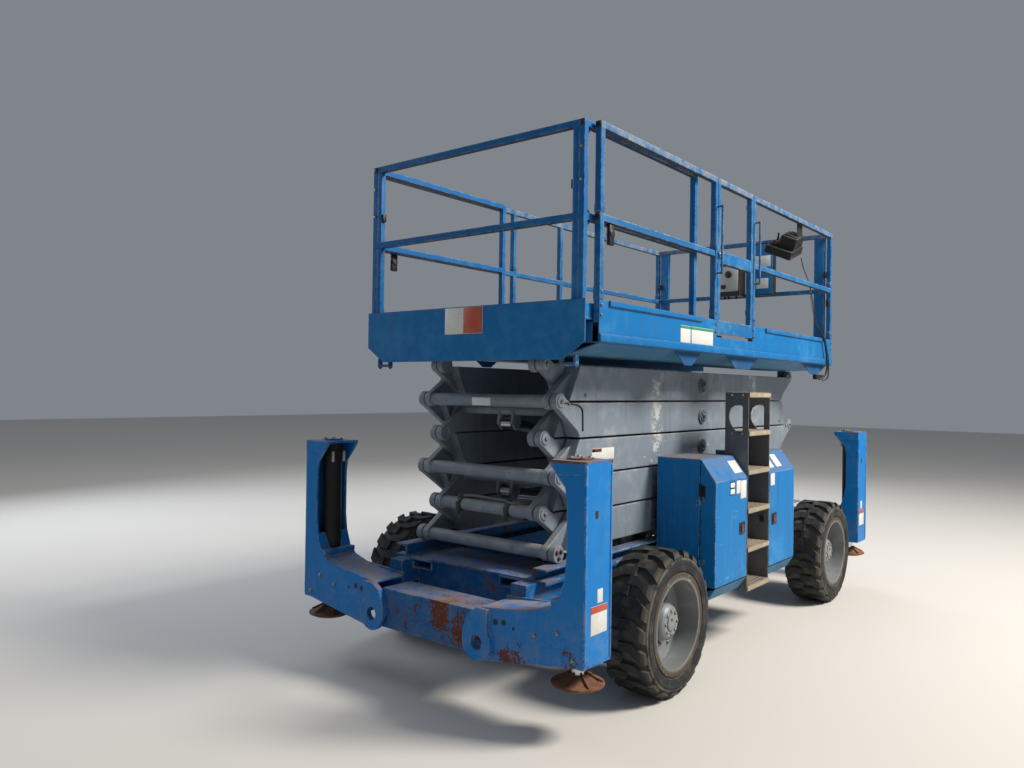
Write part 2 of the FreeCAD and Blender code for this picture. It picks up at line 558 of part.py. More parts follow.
def door_knuckle(name, side, plane, at_high, level, on_door):
    """Hinge barrel with its leaf; the shell's carries the pin, the door's sits on top of it."""
    away = 1 if at_high else -1
    axis_x = f"{plane} + {away} * hinge_off"
    axis_at = (axis_x, f"{side} * hinge_line")
    leaf_x = (plane, f"{plane} + 4") if at_high else (f"{plane} - 4", plane)
    bottom = f"{level} + hinge_tall + slide_fit" if on_door else level
    span = (bottom, f"{bottom} + hinge_tall")
    leaf = sided(side, "hinge_line", "hinge_line + 30") if on_door else sided(side, "hinge_line - 30", "hinge_line")
    pieces = [rod(name + "Knuckle", "Z", axis_at, "hinge_radius", span), box(name + "Leaf", leaf_x, leaf, span)]
    if on_door:
        pieces = [cut(name + "KnuckleBored", fuse(name + "KnuckleBody", pieces),
                      [rod(name + "KnuckleBore", "Z", axis_at, "hinge_pin + pin_fit", (f"{bottom} - 1", f"{bottom} + hinge_tall + 1"))])]
    else:
        pieces.append(rod(name + "HingePin", "Z", axis_at, "hinge_pin", (bottom, f"{bottom} + 2 * hinge_tall")))
    return pieces


def cabinet_shell(name, side, ends, hinge_at_high):
    """Fixed walls, top, floor and skirt of a cabinet between two stations."""
    low, high = ends

    def out_span(inner, outer):
        return sided(side, inner, outer)

    walls = [
        box(name + "Back", (low, high), out_span("cabinet_in", "cabinet_in + cabinet_skin"),
            ("skirt_low + 60", "cabinet_top")),
        box(name + "Top", (low, high), out_span("cabinet_in", "cabinet_hinge - door_gap"),
            ("cabinet_top - cabinet_skin", "cabinet_top")),
        box(name + "Floor", (low, high), out_span("cabinet_in", "cabinet_out - 60"),
            ("cabinet_low - 30", "cabinet_low - 26")),
    ]
    for station in (low, f"{high} - cabinet_skin"):
        walls.append(box(name + "End", (station, f"{station} + cabinet_skin"),
                         out_span("cabinet_in", "cabinet_hinge - door_gap"), ("cabinet_low - 30", "cabinet_top")))
    walls.append(prism(name + "Skirt", "YZ", [
        (f"{side} * ({out})", up) for out, up in (
            ("cabinet_out - 62", "skirt_low"), ("cabinet_out - 56", "skirt_low"), ("cabinet_out", "cabinet_low - 8"),
            ("cabinet_out - 60", "cabinet_low - 26"), ("cabinet_out - 66", "cabinet_low - 30"))], (low, high)))
    brace = out_span("frame_half", "cabinet_in + 2")
    for station in (f"{low} + 60", f"{high} - 120"):
        walls.append(box(name + "Bracket", (station, f"{station} + 60"), brace, ("frame_low + 20", "frame_top - 20")))
    for level in DOOR_HINGES:
        walls += door_knuckle(name, side, hinge_plane(low, high, hinge_at_high), hinge_at_high, level, False)
    return fuse(name, walls)


def cabinet_door(name, side, ends, hinge_at_high):
    """Door that wraps the outer corner, hinged on its end face."""
    low, high = ends
    skin = "cabinet_skin"
    profile = [(f"{side} * ({out})", up) for out, up in (
        ("cabinet_out", "cabinet_low"), ("cabinet_out", "cabinet_shoulder"),
        ("cabinet_hinge", "cabinet_top"), ("cabinet_hinge", f"cabinet_top - {skin}"),
        (f"cabinet_out - {skin}", f"cabinet_shoulder - {skin}"), (f"cabinet_out - {skin}", "cabinet_low"))]
    sheet_part = prism(name + "Sheet", "YZ", profile, (low, high))
    edge = f"{high} - {skin}" if hinge_at_high else low
    face = prism(name + "Return", "YZ", [(f"{side} * ({out})", up) for out, up in (
        ("cabinet_hinge", "cabinet_low"), ("cabinet_out", "cabinet_low"), ("cabinet_out", "cabinet_shoulder"),
        ("cabinet_hinge", "cabinet_top"))], (edge, f"{edge} + {skin}"))
    pieces = [sheet_part, face]
    for level in DOOR_HINGES:
        pieces += door_knuckle(name, side, hinge_plane(low, high, hinge_at_high), hinge_at_high, level, True)
    return fuse(name, pieces)


LADDER_FRONT = "ladder_mid + ladder_wide / 2"
LADDER_REAR = "ladder_mid - ladder_wide / 2"
CABINETS = [  # name, side, rear station, front station, door hinge at the front
    ("left_front", 1, f"{LADDER_FRONT} + 8", "cabinet_end", True),
    ("left_rear", 1, "2 * ladder_mid - cabinet_end", f"{LADDER_REAR} - 8", False),
    ("right_front", -1, "ladder_mid + 6", "cabinet_end", True),
    ("right_rear", -1, "2 * ladder_mid - cabinet_end", "ladder_mid - 6", False),
]
for name, side, low, high, at_front in CABINETS:
    node(f"cabinet_{name}", cabinet_shell("Cabinet", side, (low, high), at_front))
    node(f"door_{name}", cabinet_door("Door", side, (low, high), at_front))

ladder_parts = []
for station in (LADDER_REAR, f"{LADDER_FRONT} - 8"):
    stile = prism("Stile", "YZ", [
        ("ladder_in", "ladder_low"), ("cabinet_out", "ladder_low"), ("cabinet_out", "ladder_top - 16"),
        ("cabinet_out - 10", "ladder_top"), ("ladder_in + 68", "ladder_top"), ("ladder_in + 34", "ladder_top - 32"),
        ("ladder_in", "ladder_top - 32")], (station, f"{station} + 8"))
    grip = prism("Grip", "YZ", [
        ("ladder_in + 131", "ladder_top - 104"), ("ladder_in + 118", "ladder_top - 91"), ("ladder_in + 72", "ladder_top - 93"),
        ("ladder_in + 42", "ladder_top - 114"), ("ladder_in + 29", "ladder_top - 150"), ("ladder_in + 29", "ladder_top - 190"),
        ("ladder_in + 42", "ladder_top - 226"), ("ladder_in + 88", "ladder_top - 286"), ("ladder_in + 118", "ladder_top - 291"),
        ("ladder_in + 131", "ladder_top - 277")], (f"{station} - 2", f"{station} + 10"))
    ladder_parts.append(cut("LadderStile", stile, [grip]))
inner_x = (f"{LADDER_REAR} + 4", f"{LADDER_FRONT} - 4")
ladder_parts.append(box("LadderBack", inner_x, ("ladder_in", "ladder_in + 6"), ("ladder_low", "ladder_top - 275")))
TREADS = 6
for index in range(TREADS):
    top = f"ladder_top - {index} * tread_pitch"
    ladder_parts.append(box("Tread", inner_x, ("ladder_in", "cabinet_out + 8"), (f"{top} - 34", top)))
ladder_parts.append(box("LadderBracket", (f"{LADDER_REAR} + 80", f"{LADDER_FRONT} - 80"), ("frame_half", "ladder_in + 2"),
                        ("frame_low + 30", "frame_low + 60")))
node("ladder", fuse("Ladder", ladder_parts))
node("engine_block", box("Engine", ("ladder_mid + 40", "ladder_mid + 40 + engine_long"),
                         ("60 - cabinet_out", "-cabinet_in - 30"),
                         ("cabinet_low - 26", "cabinet_low - 26 + engine_high")))

# Scissor arms
LEVELS = 5


def arm_set(kind, level):
    """One pair of arms with their pins, and the tubes that are welded between them."""
    out = f"{kind}_arm_out"
    rises_forward = (level % 2 == 1) == (kind == "inner")
    toward = 1 if rises_forward else -1
    centre = f"(pivot_base + {level - 0.5} * level_pitch)"
    low, high = f"(pivot_base + {level - 1} * level_pitch)", f"(pivot_base + {level} * level_pitch)"

    def x_of(text):
        return f"{toward} * ({text})"

    def layer(side, inner, outer):
        return sided(side, f"{out} - ({inner})", f"{out} - ({outer})")

    beam_points = [
        (x_of("long_cut - pivot_reach"), f"{centre} - beam_height / 2"),
        (x_of("pivot_reach - short_cut"), f"{centre} - beam_height / 2"),
        (x_of("pivot_reach - long_cut"), f"{centre} + beam_height / 2"),
        (x_of("short_cut - pivot_reach"), f"{centre} + beam_height / 2")]
    low_plate = [
        (x_of("-pivot_reach + 4"), f"{low} - boss_radius + 2"), (x_of("long_cut - pivot_reach + 6"), f"{centre} - beam_height / 2 + 1"),
        (x_of("short_cut - pivot_reach + 90"), f"{centre} - beam_height / 2 + 1"),
        (x_of("short_cut - pivot_reach + 6"), f"{centre} + beam_height / 2 - 20"),
        (x_of("-pivot_reach - 18"), f"{low} + boss_radius - 5")]
    high_plate = [
        (x_of("pivot_reach - 4"), f"{high} + boss_radius - 2"), (x_of("pivot_reach - long_cut - 6"), f"{centre} + beam_height / 2 - 1"),
        (x_of("pivot_reach - short_cut - 90"), f"{centre} + beam_height / 2 - 1"),
        (x_of("pivot_reach - short_cut - 6"), f"{centre} - beam_height / 2 + 20"),
        (x_of("pivot_reach + 18"), f"{high} - boss_radius + 5")]
    inner_face = f"({out} - arm_thick)"
    between = (f"-{inner_face}", inner_face)
    pieces = []
    if (kind, level) != ("inner", 4):
        pieces.append(rod("CrossTube", "Y", (x_of("-pivot_reach"), low), "tube_radius", between))
    for side in (1, -1):
        solids, bores = [], []
        full = layer(side, "arm_thick", "0")
        inner_layer = layer(side, "arm_thick", "arm_thick - plate_thick")
        outer_layer = layer(side, "plate_thick", "0")
        solids.append(prism("ArmBeam", "XZ", beam_points, full))
        solids.append(prism("LowPlate", "XZ", low_plate, inner_layer))
        solids.append(rod("LowBoss", "Y", (x_of("-pivot_reach"), low), "boss_radius", inner_layer))
        solids.append(prism("HighPlate", "XZ", high_plate, outer_layer))
        solids.append(rod("HighBoss", "Y", (x_of("pivot_reach"), high), "boss_radius", outer_layer))
        if kind == "outer" and level == 1:
            solids.append(rod("SlideAxle", "Y", (x_of("-pivot_reach"), low), "pin_radius", layer(side, "arm_thick", "0")))
            solids.append(rod("SlideRoller", "Y", (x_of("-pivot_reach"), low), "roller_radius",
                              layer(side, "plate_thick", "0")))
        else:
            bores.append(rod("LowBore", "Y", (x_of("-pivot_reach"), low), "pin_radius + pin_fit",
                             layer(side, "arm_thick", "arm_thick - plate_thick - 10")))
        if kind == "inner" and level == LEVELS:
            solids.append(rod("TopAxle", "Y", (x_of("pivot_reach"), high), "pin_radius", layer(side, "arm_thick", "0")))
            solids.append(rod("TopRoller", "Y", (x_of("pivot_reach"), high), "roller_radius",
                              layer(side, "arm_thick", "arm_thick - plate_thick")))
        else:
            solids.append(rod("HighPin", "Y", (x_of("pivot_reach"), high), "pin_radius", layer(side, "arm_thick - 4", "0")))
        if kind == "inner":
            bores.append(rod("CentreBore", "Y", ("0", centre), "centre_pin + pin_fit",
                             layer(side, "arm_thick + 1", "-1")))
        else:
            gap = "outer_arm_out - inner_arm_out"
            solids.append(rod("CentrePin", "Y", ("0", centre), "centre_pin", layer(side, f"arm_thick + {gap} - 4", "0")))
            solids.append(rod("CentreBoss", "Y", ("0", centre), "centre_pin + 22", layer(side, "0", "-14")))
        arm = fuse("Arm", solids)
        pieces.append(cut("BoredArm", arm, bores) if bores else arm)
    if kind == "inner" and level in (1, 3):
        pieces.append(rod("RamTube", "Y", ("0", f"{centre} - ram_pin_drop"), "ram_pin", between))
    if kind == "inner" and level in (2, 4):
        eye = f"({centre} - ram_eye_drop)"
        carrier = [rod("RamTube", "Y", ("ram_reach", f"{centre} + 45"), "30", between)]
        for span in (("48", "66"), ("-66", "-48")):
            carrier.append(prism("RamEar", "XZ", [
                ("ram_reach - 34", f"{centre} + 45"), ("ram_reach - 48", eye), ("ram_reach", f"{eye} - 45"),
                ("ram_reach + 48", eye), ("ram_reach + 34", f"{centre} + 45")], span))
        pieces.append(fuse("RamCarrier", carrier))
    return pieces


for level in range(1, LEVELS + 1):
    for kind in ("inner", "outer"):
        group(f"{kind}_arms_{level}", arm_set(kind, level))

# Lift cylinders between the arms of levels 1 and 2, and of levels 3 and 4
for name, level in (("lower", 1), ("upper", 3)):
    pivot = f"(pivot_base + {level - 0.5} * level_pitch - ram_pin_drop)"
    eye = f"(pivot_base + {level + 0.5} * level_pitch - ram_eye_drop)"
    tilt = f"-atan(({eye} - {pivot}) / ram_reach)"
    reach = f"sqrt(ram_reach * ram_reach + ({eye} - {pivot}) * ({eye} - {pivot}))"
    parts = {
        "barrel": [rod("RamBarrel", "X", ("0", "0"), "ram_barrel", ("20", "ram_barrel_long"))],
        "rod": [rod("RamRod", "X", ("0", "0"), "ram_rod", ("ram_barrel_long - 420", f"{reach} - 10"))],
    }
    eye_end = rod("RamEye", "Y", ("0", "0"), "ram_barrel - 8", ("-45", "45"))
    rod_end = rod("RodEye", "Y", (reach, "0"), "ram_eye", ("-40", "40"))
    barrel = cut("RamBarrelBody", fuse("RamBarrelAll", parts["barrel"] + [eye_end]), [
        rod("RamBore", "X", ("0", "0"), "ram_rod + pin_fit", ("ram_barrel_long - 430", "ram_barrel_long + 1")),
        rod("RamEyeBore", "Y", ("0", "0"), "ram_pin + pin_fit", ("-70", "70"))])
    piston = cut("RamRodBody", fuse("RamRodAll", parts["rod"] + [rod_end]),
                 [rod("RodEyeBore", "Y", (reach, "0"), "20", ("-50", "50"))])
    for suffix, item in (("barrel", barrel), ("rod", piston)):
        carrier = doc.addObject("Part::Compound", "RamCarrier")
        carrier.Links = [item]
        carrier.Placement = FreeCAD.Placement(FreeCAD.Vector(), FreeCAD.Rotation(FreeCAD.Vector(0, 1, 0), -10))
        bind(carrier, "Placement.Base.z", pivot)
        bind(carrier, "Placement.Rotation.Angle", f"-({tilt})")
        carrier.Placement.Rotation.Axis = FreeCAD.Vector(0, -1, 0)
        node(f"{name}_lift_{suffix}", carrier)

# Platform deck
deck_x = ("-deck_rear", "deck_front")
deck_parts = [box("DeckFloor", deck_x, ("deck_skin - deck_half", "deck_half - deck_skin"),
                  ("deck_floor - deck_skin", "deck_floor"))]
for side in (1, -1):
    deck_parts.append(box("DeckSide", deck_x, sided(side, "deck_half - deck_skin", "deck_half"), ("deck_sill", "deck_floor")))
    deck_parts.append(box("DeckLip", deck_x, sided(side, "deck_half - 45", "deck_half"), ("deck_sill", "deck_sill + deck_skin")))
    for low, high in (("-deck_rear", "gate_rear"), ("gate_front", "deck_front")):
        deck_parts.append(box("ToeBoard", (low, high), sided(side, "deck_half - deck_skin", "deck_half"),
                              ("deck_floor - 1", "toe_top")))
    if side < 0:
        deck_parts.append(box("ToeBoard", ("gate_rear", "gate_front"), sided(side, "deck_half - deck_skin", "deck_half"),
                              ("deck_floor - 1", "toe_top")))
    deck_parts.append(prism("SideFrame", "YZ", [(f"{side} * ({out})", up) for out, up in (
        ("under_half", "under_low"), ("deck_half - 40", "deck_sill"), ("deck_half - 40", "deck_sill + deck_skin"),
        ("under_half - 30", "under_low + deck_skin"), ("under_half - 30", "under_low"))],
        ("-deck_rear + 60", "deck_front - 60")))
    deck_parts.append(box("DeckBeam", ("-deck_rear + 60", "deck_front - 60"), sided(side, "inner_arm_out - arm_thick - 20", "under_half"),
                          ("under_low", "under_low + 8")))
    for inner in ("inner_arm_out - arm_thick - 20", "under_half - 8"):
        deck_parts.append(box("DeckWeb", ("-deck_rear + 60", "deck_front - 60"), sided(side, inner, f"{inner} + 8"),
                              ("under_low", "deck_floor - deck_skin + 1")))
    ear_y = sided(side, "outer_arm_out - arm_thick", "outer_arm_out - arm_thick + plate_thick")
    pivot_top = f"(pivot_base + {LEVELS} * level_pitch)"
    ear = fuse("DeckEar", [
        rod("DeckEarBoss", "Y", ("-pivot_reach", pivot_top), "boss_radius", ear_y),
        box("DeckEarWeb", ("-pivot_reach - boss_radius", "-pivot_reach + boss_radius"), ear_y, (pivot_top, "under_low + 2"))])
    deck_parts.append(cut("DeckHingeEar", ear, [rod("DeckEarBore", "Y", ("-pivot_reach", pivot_top),
                                                    "pin_radius + pin_fit",
                                                    sided(side, "outer_arm_out - arm_thick - 1",
                                                             "outer_arm_out - arm_thick + plate_thick + 1"))]))
for station in ("-deck_rear", "deck_front - 8"):
    deck_parts.append(box("EndMember", (station, f"{station} + 8"), ("45 - deck_half", "deck_half - 45"),
                          ("deck_sill", "deck_floor - deck_skin + 1")))
BAYS = 6
for side in (1, -1):
    for index in range(1, BAYS):
        station = f"{index} * (deck_front + deck_rear) / {BAYS} - deck_rear"
        deck_parts.append(box("CrossMember", (station, f"{station} + 8"),
                              sided(side, "inner_arm_out - arm_thick - 14", "deck_half - 45"),
                              ("deck_sill", "deck_floor - deck_skin + 1")))
    for low, high in (("240 - deck_rear", "gate_rear - 250"), ("gate_front + 230", "deck_front - 100")):
        deck_parts.append(box("ToeLip", (low, high), sided(side, "deck_half - 1", "deck_half + lip_out"),
                              ("toe_top - 30", "toe_top")))
    for middle, top, foot in (("deck_front - 1145", "195", "50"), ("-deck_rear / 70", "280", "128"),
                              ("363 - deck_rear", "334", "75")):
        deck_parts.append(prism("UnderGusset", "XZ", [
            (f"{middle} - {top}", "deck_sill + 1"), (f"{middle} - {foot}", "under_low - 38"),
            (f"{middle} + {foot}", "under_low - 38"), (f"{middle} + {top}", "deck_sill + 1")],
            sided(side, "deck_half - 40", "deck_half - 32")))
deck_parts.append(box("RearBoard", ("-deck_rear", "deck_skin - deck_rear"), ("-deck_half", "deck_half"), ("deck_sill", "toe_top")))
node("platform_deck", fuse("Deck", deck_parts))

# Guard rails: square tubes on the main deck
half_tube = "rail_tube / 2"
rail_y = "deck_half - rail_tube / 2"
rail_line = f"({rail_y})"


def post(name, x, y, z=("toe_top", "rail_top")):
    return box(name, (f"{x} - {half_tube}", f"{x} + {half_tube}"), (f"{y} - {half_tube}", f"{y} + {half_tube}"), z)


GATE_HINGES = ("toe_top + 60", "rail_top - 140")
GATE_AXIS = ("gate_rear + gate_gap / 2", f"{rail_line} - {half_tube} - 10")


def gate_knuckle(level, on_gate):
    """Hinge barrel with its tab; the post's carries the pin, the gate's sits on top of it."""
    bottom = f"{level} + hinge_tall + slide_fit" if on_gate else level
    span = (bottom, f"{bottom} + hinge_tall")
    tab_x = (GATE_AXIS[0], f"{GATE_AXIS[0]} + 30") if on_gate else (f"{GATE_AXIS[0]} - 30", GATE_AXIS[0])
    pieces = [rod("GateKnuckle", "Z", GATE_AXIS, "hinge_radius", span),
              box("GateTab", tab_x, (GATE_AXIS[1], f"{GATE_AXIS[1]} + 10.5"), span)]
    if not on_gate:
        return pieces + [rod("GateHingePin", "Z", GATE_AXIS, "hinge_pin", (bottom, f"{bottom} + 2 * hinge_tall"))]
    return [cut("GateKnuckleBored", fuse("GateKnuckleBody", pieces),
                [rod("GateKnuckleBore", "Z", GATE_AXIS, "hinge_pin + pin_fit", (f"{bottom} - 1", f"{bottom} + hinge_tall + 1"))])]


MAIN_POSTS = ["deck_front - rail_tube / 2", "gate_front + rail_tube / 2", "gate_rear - rail_tube / 2",
              "rail_tube / 2 - deck_rear"]
rail_parts = []
for side in (1, -1):
    line = f"{side} * {rail_line}"
    for x in MAIN_POSTS:
        rail_parts.append(post("RailPost", x, line, ("deck_floor", "rail_top")))
    spans = [("gate_front", "deck_front"), ("-deck_rear", "gate_rear")]
    if side < 0:
        spans.append(("gate_rear", "gate_front"))
    for span in spans:
        for z in (("rail_top - rail_tube", "rail_top"), ("rail_mid - rail_tube / 2", "rail_mid + rail_tube / 2")):
            rail_parts.append(box("RailBar", span, (f"{line} - {half_tube}", f"{line} + {half_tube}"), z))
rear_y = ("-deck_half + rail_tube", "deck_half - rail_tube")
for z in (("rail_top - rail_tube", "rail_top"), ("rail_mid - rail_tube / 2", "rail_mid + rail_tube / 2")):
    rail_parts.append(box("RearBar", ("-deck_rear", "rail_tube - deck_rear"), rear_y, z))
for level in GATE_HINGES:
    rail_parts += gate_knuckle(level, False)
for x in MAIN_POSTS[1:3]:
    rail_parts.append(rod("GrabRod", "Z", (x, "grab_out"), "grab_radius", ("rail_mid - 145", "rail_top - 200")))
    for z in ("rail_mid - 137", "rail_top - 208"):
        rail_parts.append(rod("GrabFoot", "Y", (x, z), "grab_radius - 1", ("deck_half - 10", "grab_out - 2")))
node("platform_rails", cut("Rails", fuse("RailsAll", rail_parts), [
    box("RailSeat", ("-deck_rear - 1", "deck_front + 1"), ("deck_half - deck_skin", "deck_half + 1"), ("0", "toe_top")),
    box("RailSeat", ("-deck_rear - 1", "deck_front + 1"), ("-deck_half - 1", "deck_skin - deck_half"), ("0", "toe_top")),
    box("RailSeat", ("-deck_rear - 1", "deck_skin - deck_rear"), ("-deck_half - 1", "deck_half + 1"), ("0", "toe_top"))]))

GATE_LOW = "deck_floor + ext_lift + ext_board + 6"
gate_x = ("gate_rear + gate_gap", "gate_front - gate_gap")
gate_y = (f"{rail_line} - {half_tube}", f"{rail_line} + {half_tube}")
gate_parts = [
    box("GateTop", gate_x, gate_y, ("rail_top - rail_tube", "rail_top")),
    box("GateBar", gate_x, gate_y, ("rail_mid - 55", "rail_mid + 30")),
    box("GateKick", gate_x, (f"{rail_line} + {half_tube} - 6", f"{rail_line} + {half_tube}"), (GATE_LOW, "toe_top")),
]
for x in ("gate_rear + gate_gap + rail_tube / 2", "gate_front - gate_gap - rail_tube / 2"):
    gate_parts.append(post("GatePost", x, rail_line, (GATE_LOW, "rail_top")))
for level in GATE_HINGES:
    gate_parts += gate_knuckle(level, True)
node("platform_gate", fuse("Gate", gate_parts))

# Sliding deck extension
ext_floor = "(deck_floor + ext_lift)"
ext_parts = [
    box("ExtensionFloor", ("ext_rear", "ext_face - 4"), ("12 - ext_half", "ext_half - 12"), (ext_floor, f"{ext_floor} + ext_board")),
    prism("EndPlate", "YZ", [
        ("-ext_half", "ext_low + 100"), ("150 - ext_half", "ext_low"), ("ext_half - 150", "ext_low"),
        ("ext_half", "ext_low + 100"), ("ext_half", "toe_top"), ("-ext_half", "toe_top")],
        ("ext_face - 10", "ext_face")),
]
for side in (1, -1):
    ext_parts.append(box("ExtensionToe", ("ext_post", "ext_face - 5"), sided(side, "ext_half - 22", "ext_half - 16"),
                         (ext_floor, "toe_top - 20")))
for line in ("-600", "0", "600"):
    ext_parts.append(box("Skid", ("ext_rear", "deck_front - 100"), (f"{line} - 30", f"{line} + 30"),
                         ("deck_floor + slide_fit", f"{ext_floor} + 2")))
node("extension_deck", fuse("Extension", ext_parts))

ext_line = "(ext_half - 16 - rail_tube / 2 - 6)"
ext_rail_parts = []
for side in (1, -1):
    line = f"{side} * {ext_line}"
    for x in ("ext_face - 10 - rail_tube / 2", "ext_post + rail_tube / 2"):
        ext_rail_parts.append(post("ExtensionPost", x, line, (f"{ext_floor} + ext_board", "rail_top")))
    for z in (("rail_top - rail_tube", "rail_top"), ("rail_mid - rail_tube / 2", "rail_mid + rail_tube / 2")):
        ext_rail_parts.append(box("ExtensionBar", ("ext_post", "ext_face - 10"), (f"{line} - {half_tube}", f"{line} + {half_tube}"), z))
for z in (("rail_top - rail_tube", "rail_top"), ("rail_mid - rail_tube / 2", "rail_mid + rail_tube / 2")):
    ext_rail_parts.append(box("ExtensionEndBar", ("ext_face - 10 - rail_tube", "ext_face - 10"), (f"-{ext_line}", ext_line), z))
node("extension_rails", fuse("ExtensionRails", ext_rail_parts))

# Boxes on the rails
# The control box hangs askew from the top rail by its bracket
askew = FreeCAD.Rotation(FreeCAD.Vector(-0.945, 0, 0.327), FreeCAD.Vector(0, -0.894, 0.447), FreeCAD.Vector(0.292, 0.422, 0.845), "ZXY")
CONTROL_AT = ("-1107", "deck_half - rail_tube - 47", "rail_top - 360")
case = box("ControlCase", ("0", "300"), ("0", "235"), ("0", "66"))
head = box("ControlHead", ("60", "270"), ("10", "150"), ("64", "170"))
control = copied("ControlBody", fuse("ControlBoth", [case, head]), askew)
for letter, where in zip("xyz", CONTROL_AT):
    bind(control, f"Placement.Base.{letter}", where)
node("control_box", fuse("ControlBox", [control, box("ControlHanger", ("-1290", "-1170"), (
    "deck_half - rail_tube - 6", "deck_half - rail_tube"), ("rail_top - 200", "rail_top - 4"))]))
group("rail_boxes", [
    box("JunctionBox", ("rail_tube - deck_rear", "rail_tube - deck_rear + 150"), ("-130", "90"), ("rail_mid - 10", "rail_mid + 330")),
    box("ManualBox", ("rail_tube - deck_rear", "rail_tube - deck_rear + 60"), ("180", "400"), ("rail_mid - 10", "rail_mid + 500"))])

doc.recompute()
failed = [item.Name for item in doc.Objects if {"Invalid", "Error"} & set(item.State)]
if failed:
    raise RuntimeError("objects failed: " + ", ".join(failed[:20]))
os.makedirs("parts", exist_ok=True)
for item in nodes:
    shape = item.Shape
    if shape.isNull() or not shape.isValid():
        raise RuntimeError("bad shape: " + item.Label)
    shape.exportStep(f"parts/{item.Label}.step")
    box_now = shape.BoundBox
    print(f"{item.Label:26s} solids {len(shape.Solids):2d} faces {len(shape.Faces):4d} volume {shape.Volume / 1e6:9.2f} l"
          f"  x {box_now.XMin:7.0f} {box_now.XMax:7.0f}  y {box_now.YMin:6.0f} {box_now.YMax:6.0f}"
          f"  z {box_now.ZMin:6.0f} {box_now.ZMax:6.0f}")
print(len(nodes), "nodes")
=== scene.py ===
"""Looks of the scissor lift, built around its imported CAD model.

The CAD nodes keep their shapes and get procedural paint, rubber and metal. Fittings that the
CAD leaves out, such as bolts, latches, plates and plugs, are added as joined meshes that ride
on the CAD bodies. Lengths are in metres in the CAD model's own frame.
"""
import logging
import math
from dataclasses import dataclass
from enum import Enum
from typing import Callable, Iterable, Sequence

import bmesh
import bpy
from mathutils import Matrix, Vector


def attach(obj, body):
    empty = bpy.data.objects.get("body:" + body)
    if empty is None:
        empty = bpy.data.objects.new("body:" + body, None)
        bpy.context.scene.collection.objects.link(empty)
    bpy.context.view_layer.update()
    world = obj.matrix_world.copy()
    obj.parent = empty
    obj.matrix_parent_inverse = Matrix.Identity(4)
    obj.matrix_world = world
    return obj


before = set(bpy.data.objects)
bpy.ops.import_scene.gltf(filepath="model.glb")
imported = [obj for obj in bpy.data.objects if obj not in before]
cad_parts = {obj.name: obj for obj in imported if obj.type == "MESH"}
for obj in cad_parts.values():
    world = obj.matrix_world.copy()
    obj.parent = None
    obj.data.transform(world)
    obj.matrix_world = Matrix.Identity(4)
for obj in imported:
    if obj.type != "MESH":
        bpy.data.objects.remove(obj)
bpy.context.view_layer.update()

log = logging.getLogger("scissor_lift")


# Plain values shared by the pieces
@dataclass(frozen=True)
class LiftSizes:
    """Main lengths of the lift, as in the CAD source, in metres."""

    axle_half: float = 1.442
    hub_height: float = 0.43
    tyre_outer: float = 1.148
    tyre_width: float = 0.315
    hub_face: float = 1.090
    disc_face: float = 0.998
    pivot_reach: float = 1.87
    pivot_base: float = 0.826
    level_pitch: float = 0.226
    levels: int = 5
    outer_arm_out: float = 0.572
    inner_arm_out: float = 0.46
    deck_front: float = 2.005
    deck_rear: float = 1.985
    deck_half: float = 0.92
    deck_floor: float = 2.185
    toe_top: float = 2.305
    rail_mid: float = 2.765
    rail_top: float = 3.3
    rail_tube: float = 0.038
    ext_face: float = 2.1
    ext_post: float = 0.729
    ext_line: float = 0.847
    rigger_face: float = 2.418
    rigger_deep: float = 0.25
    rigger_out: float = 1.122
    rigger_top: float = 1.442
    leg_out: float = 1.005
    cabinet_front: float = 0.785
    cabinet_rear: float = -0.655
    cabinet_out: float = 1.06
    cabinet_hinge: float = 0.952
    ladder_mid: float = 0.065
    ladder_half: float = 0.2
    ladder_in: float = 0.886
    ladder_top: float = 1.8
    tread_pitch: float = 0.275


SIZES = LiftSizes()
CORNERS = (("front_left", 1, 1), ("front_right", 1, -1), ("rear_left", -1, 1), ("rear_right", -1, -1))


class Axis(Enum):
    """Directions that a fitting can face."""

    X = Vector((1, 0, 0))
    Y = Vector((0, 1, 0))
    Z = Vector((0, 0, 1))


def srgb_to_linear(code: str) -> tuple[float, float, float, float]:
    """Turn a hex colour as seen on a screen into linear light.

    Args:
        code: Six hex digits, red first.

    Returns:
        Linear red, green, blue and a full alpha.
    """
    parts = []
    for start in (0, 2, 4):
        value = int(code[start:start + 2], 16) / 255
        parts.append(value / 12.92 if value <= 0.04045 else ((value + 0.055) / 1.055) ** 2.4)
    return (parts[0], parts[1], parts[2], 1.0)


# Materials
@dataclass(frozen=True)
class Marks:
    """Real sizes of the marks that age leaves, in millimetres."""

    cloud: float = 590.0
    blotch: float = 91.0
    grain: float = 14.0
    run_width: float = 70.0
    run_length: float = 900.0
    scratch_length: float = 450.0
    scratch_height: float = 17.0
    chipped_edge: float = 12.0
    moulded_ring: float = 27.0
    pitting: float = 2.0


MARKS = Marks()
SMOOTH = {"output": "Result", "interpolation_type": "SMOOTHSTEP"}
TIMES = {"operation": "MULTIPLY", "use_clamp": True}
PLUS = {"operation": "ADD", "use_clamp": True}
LARGER = {"operation": "MAXIMUM"}
SCALED = {"operation": "MULTIPLY_ADD", "use_clamp": True}
OVER = {"output": 2, "data_type": "RGBA"}


def per_metre(size_mm: float) -> float:
    """Number of marks of a size in millimetres that fit in a metre."""
    return 1000.0 / size_mm


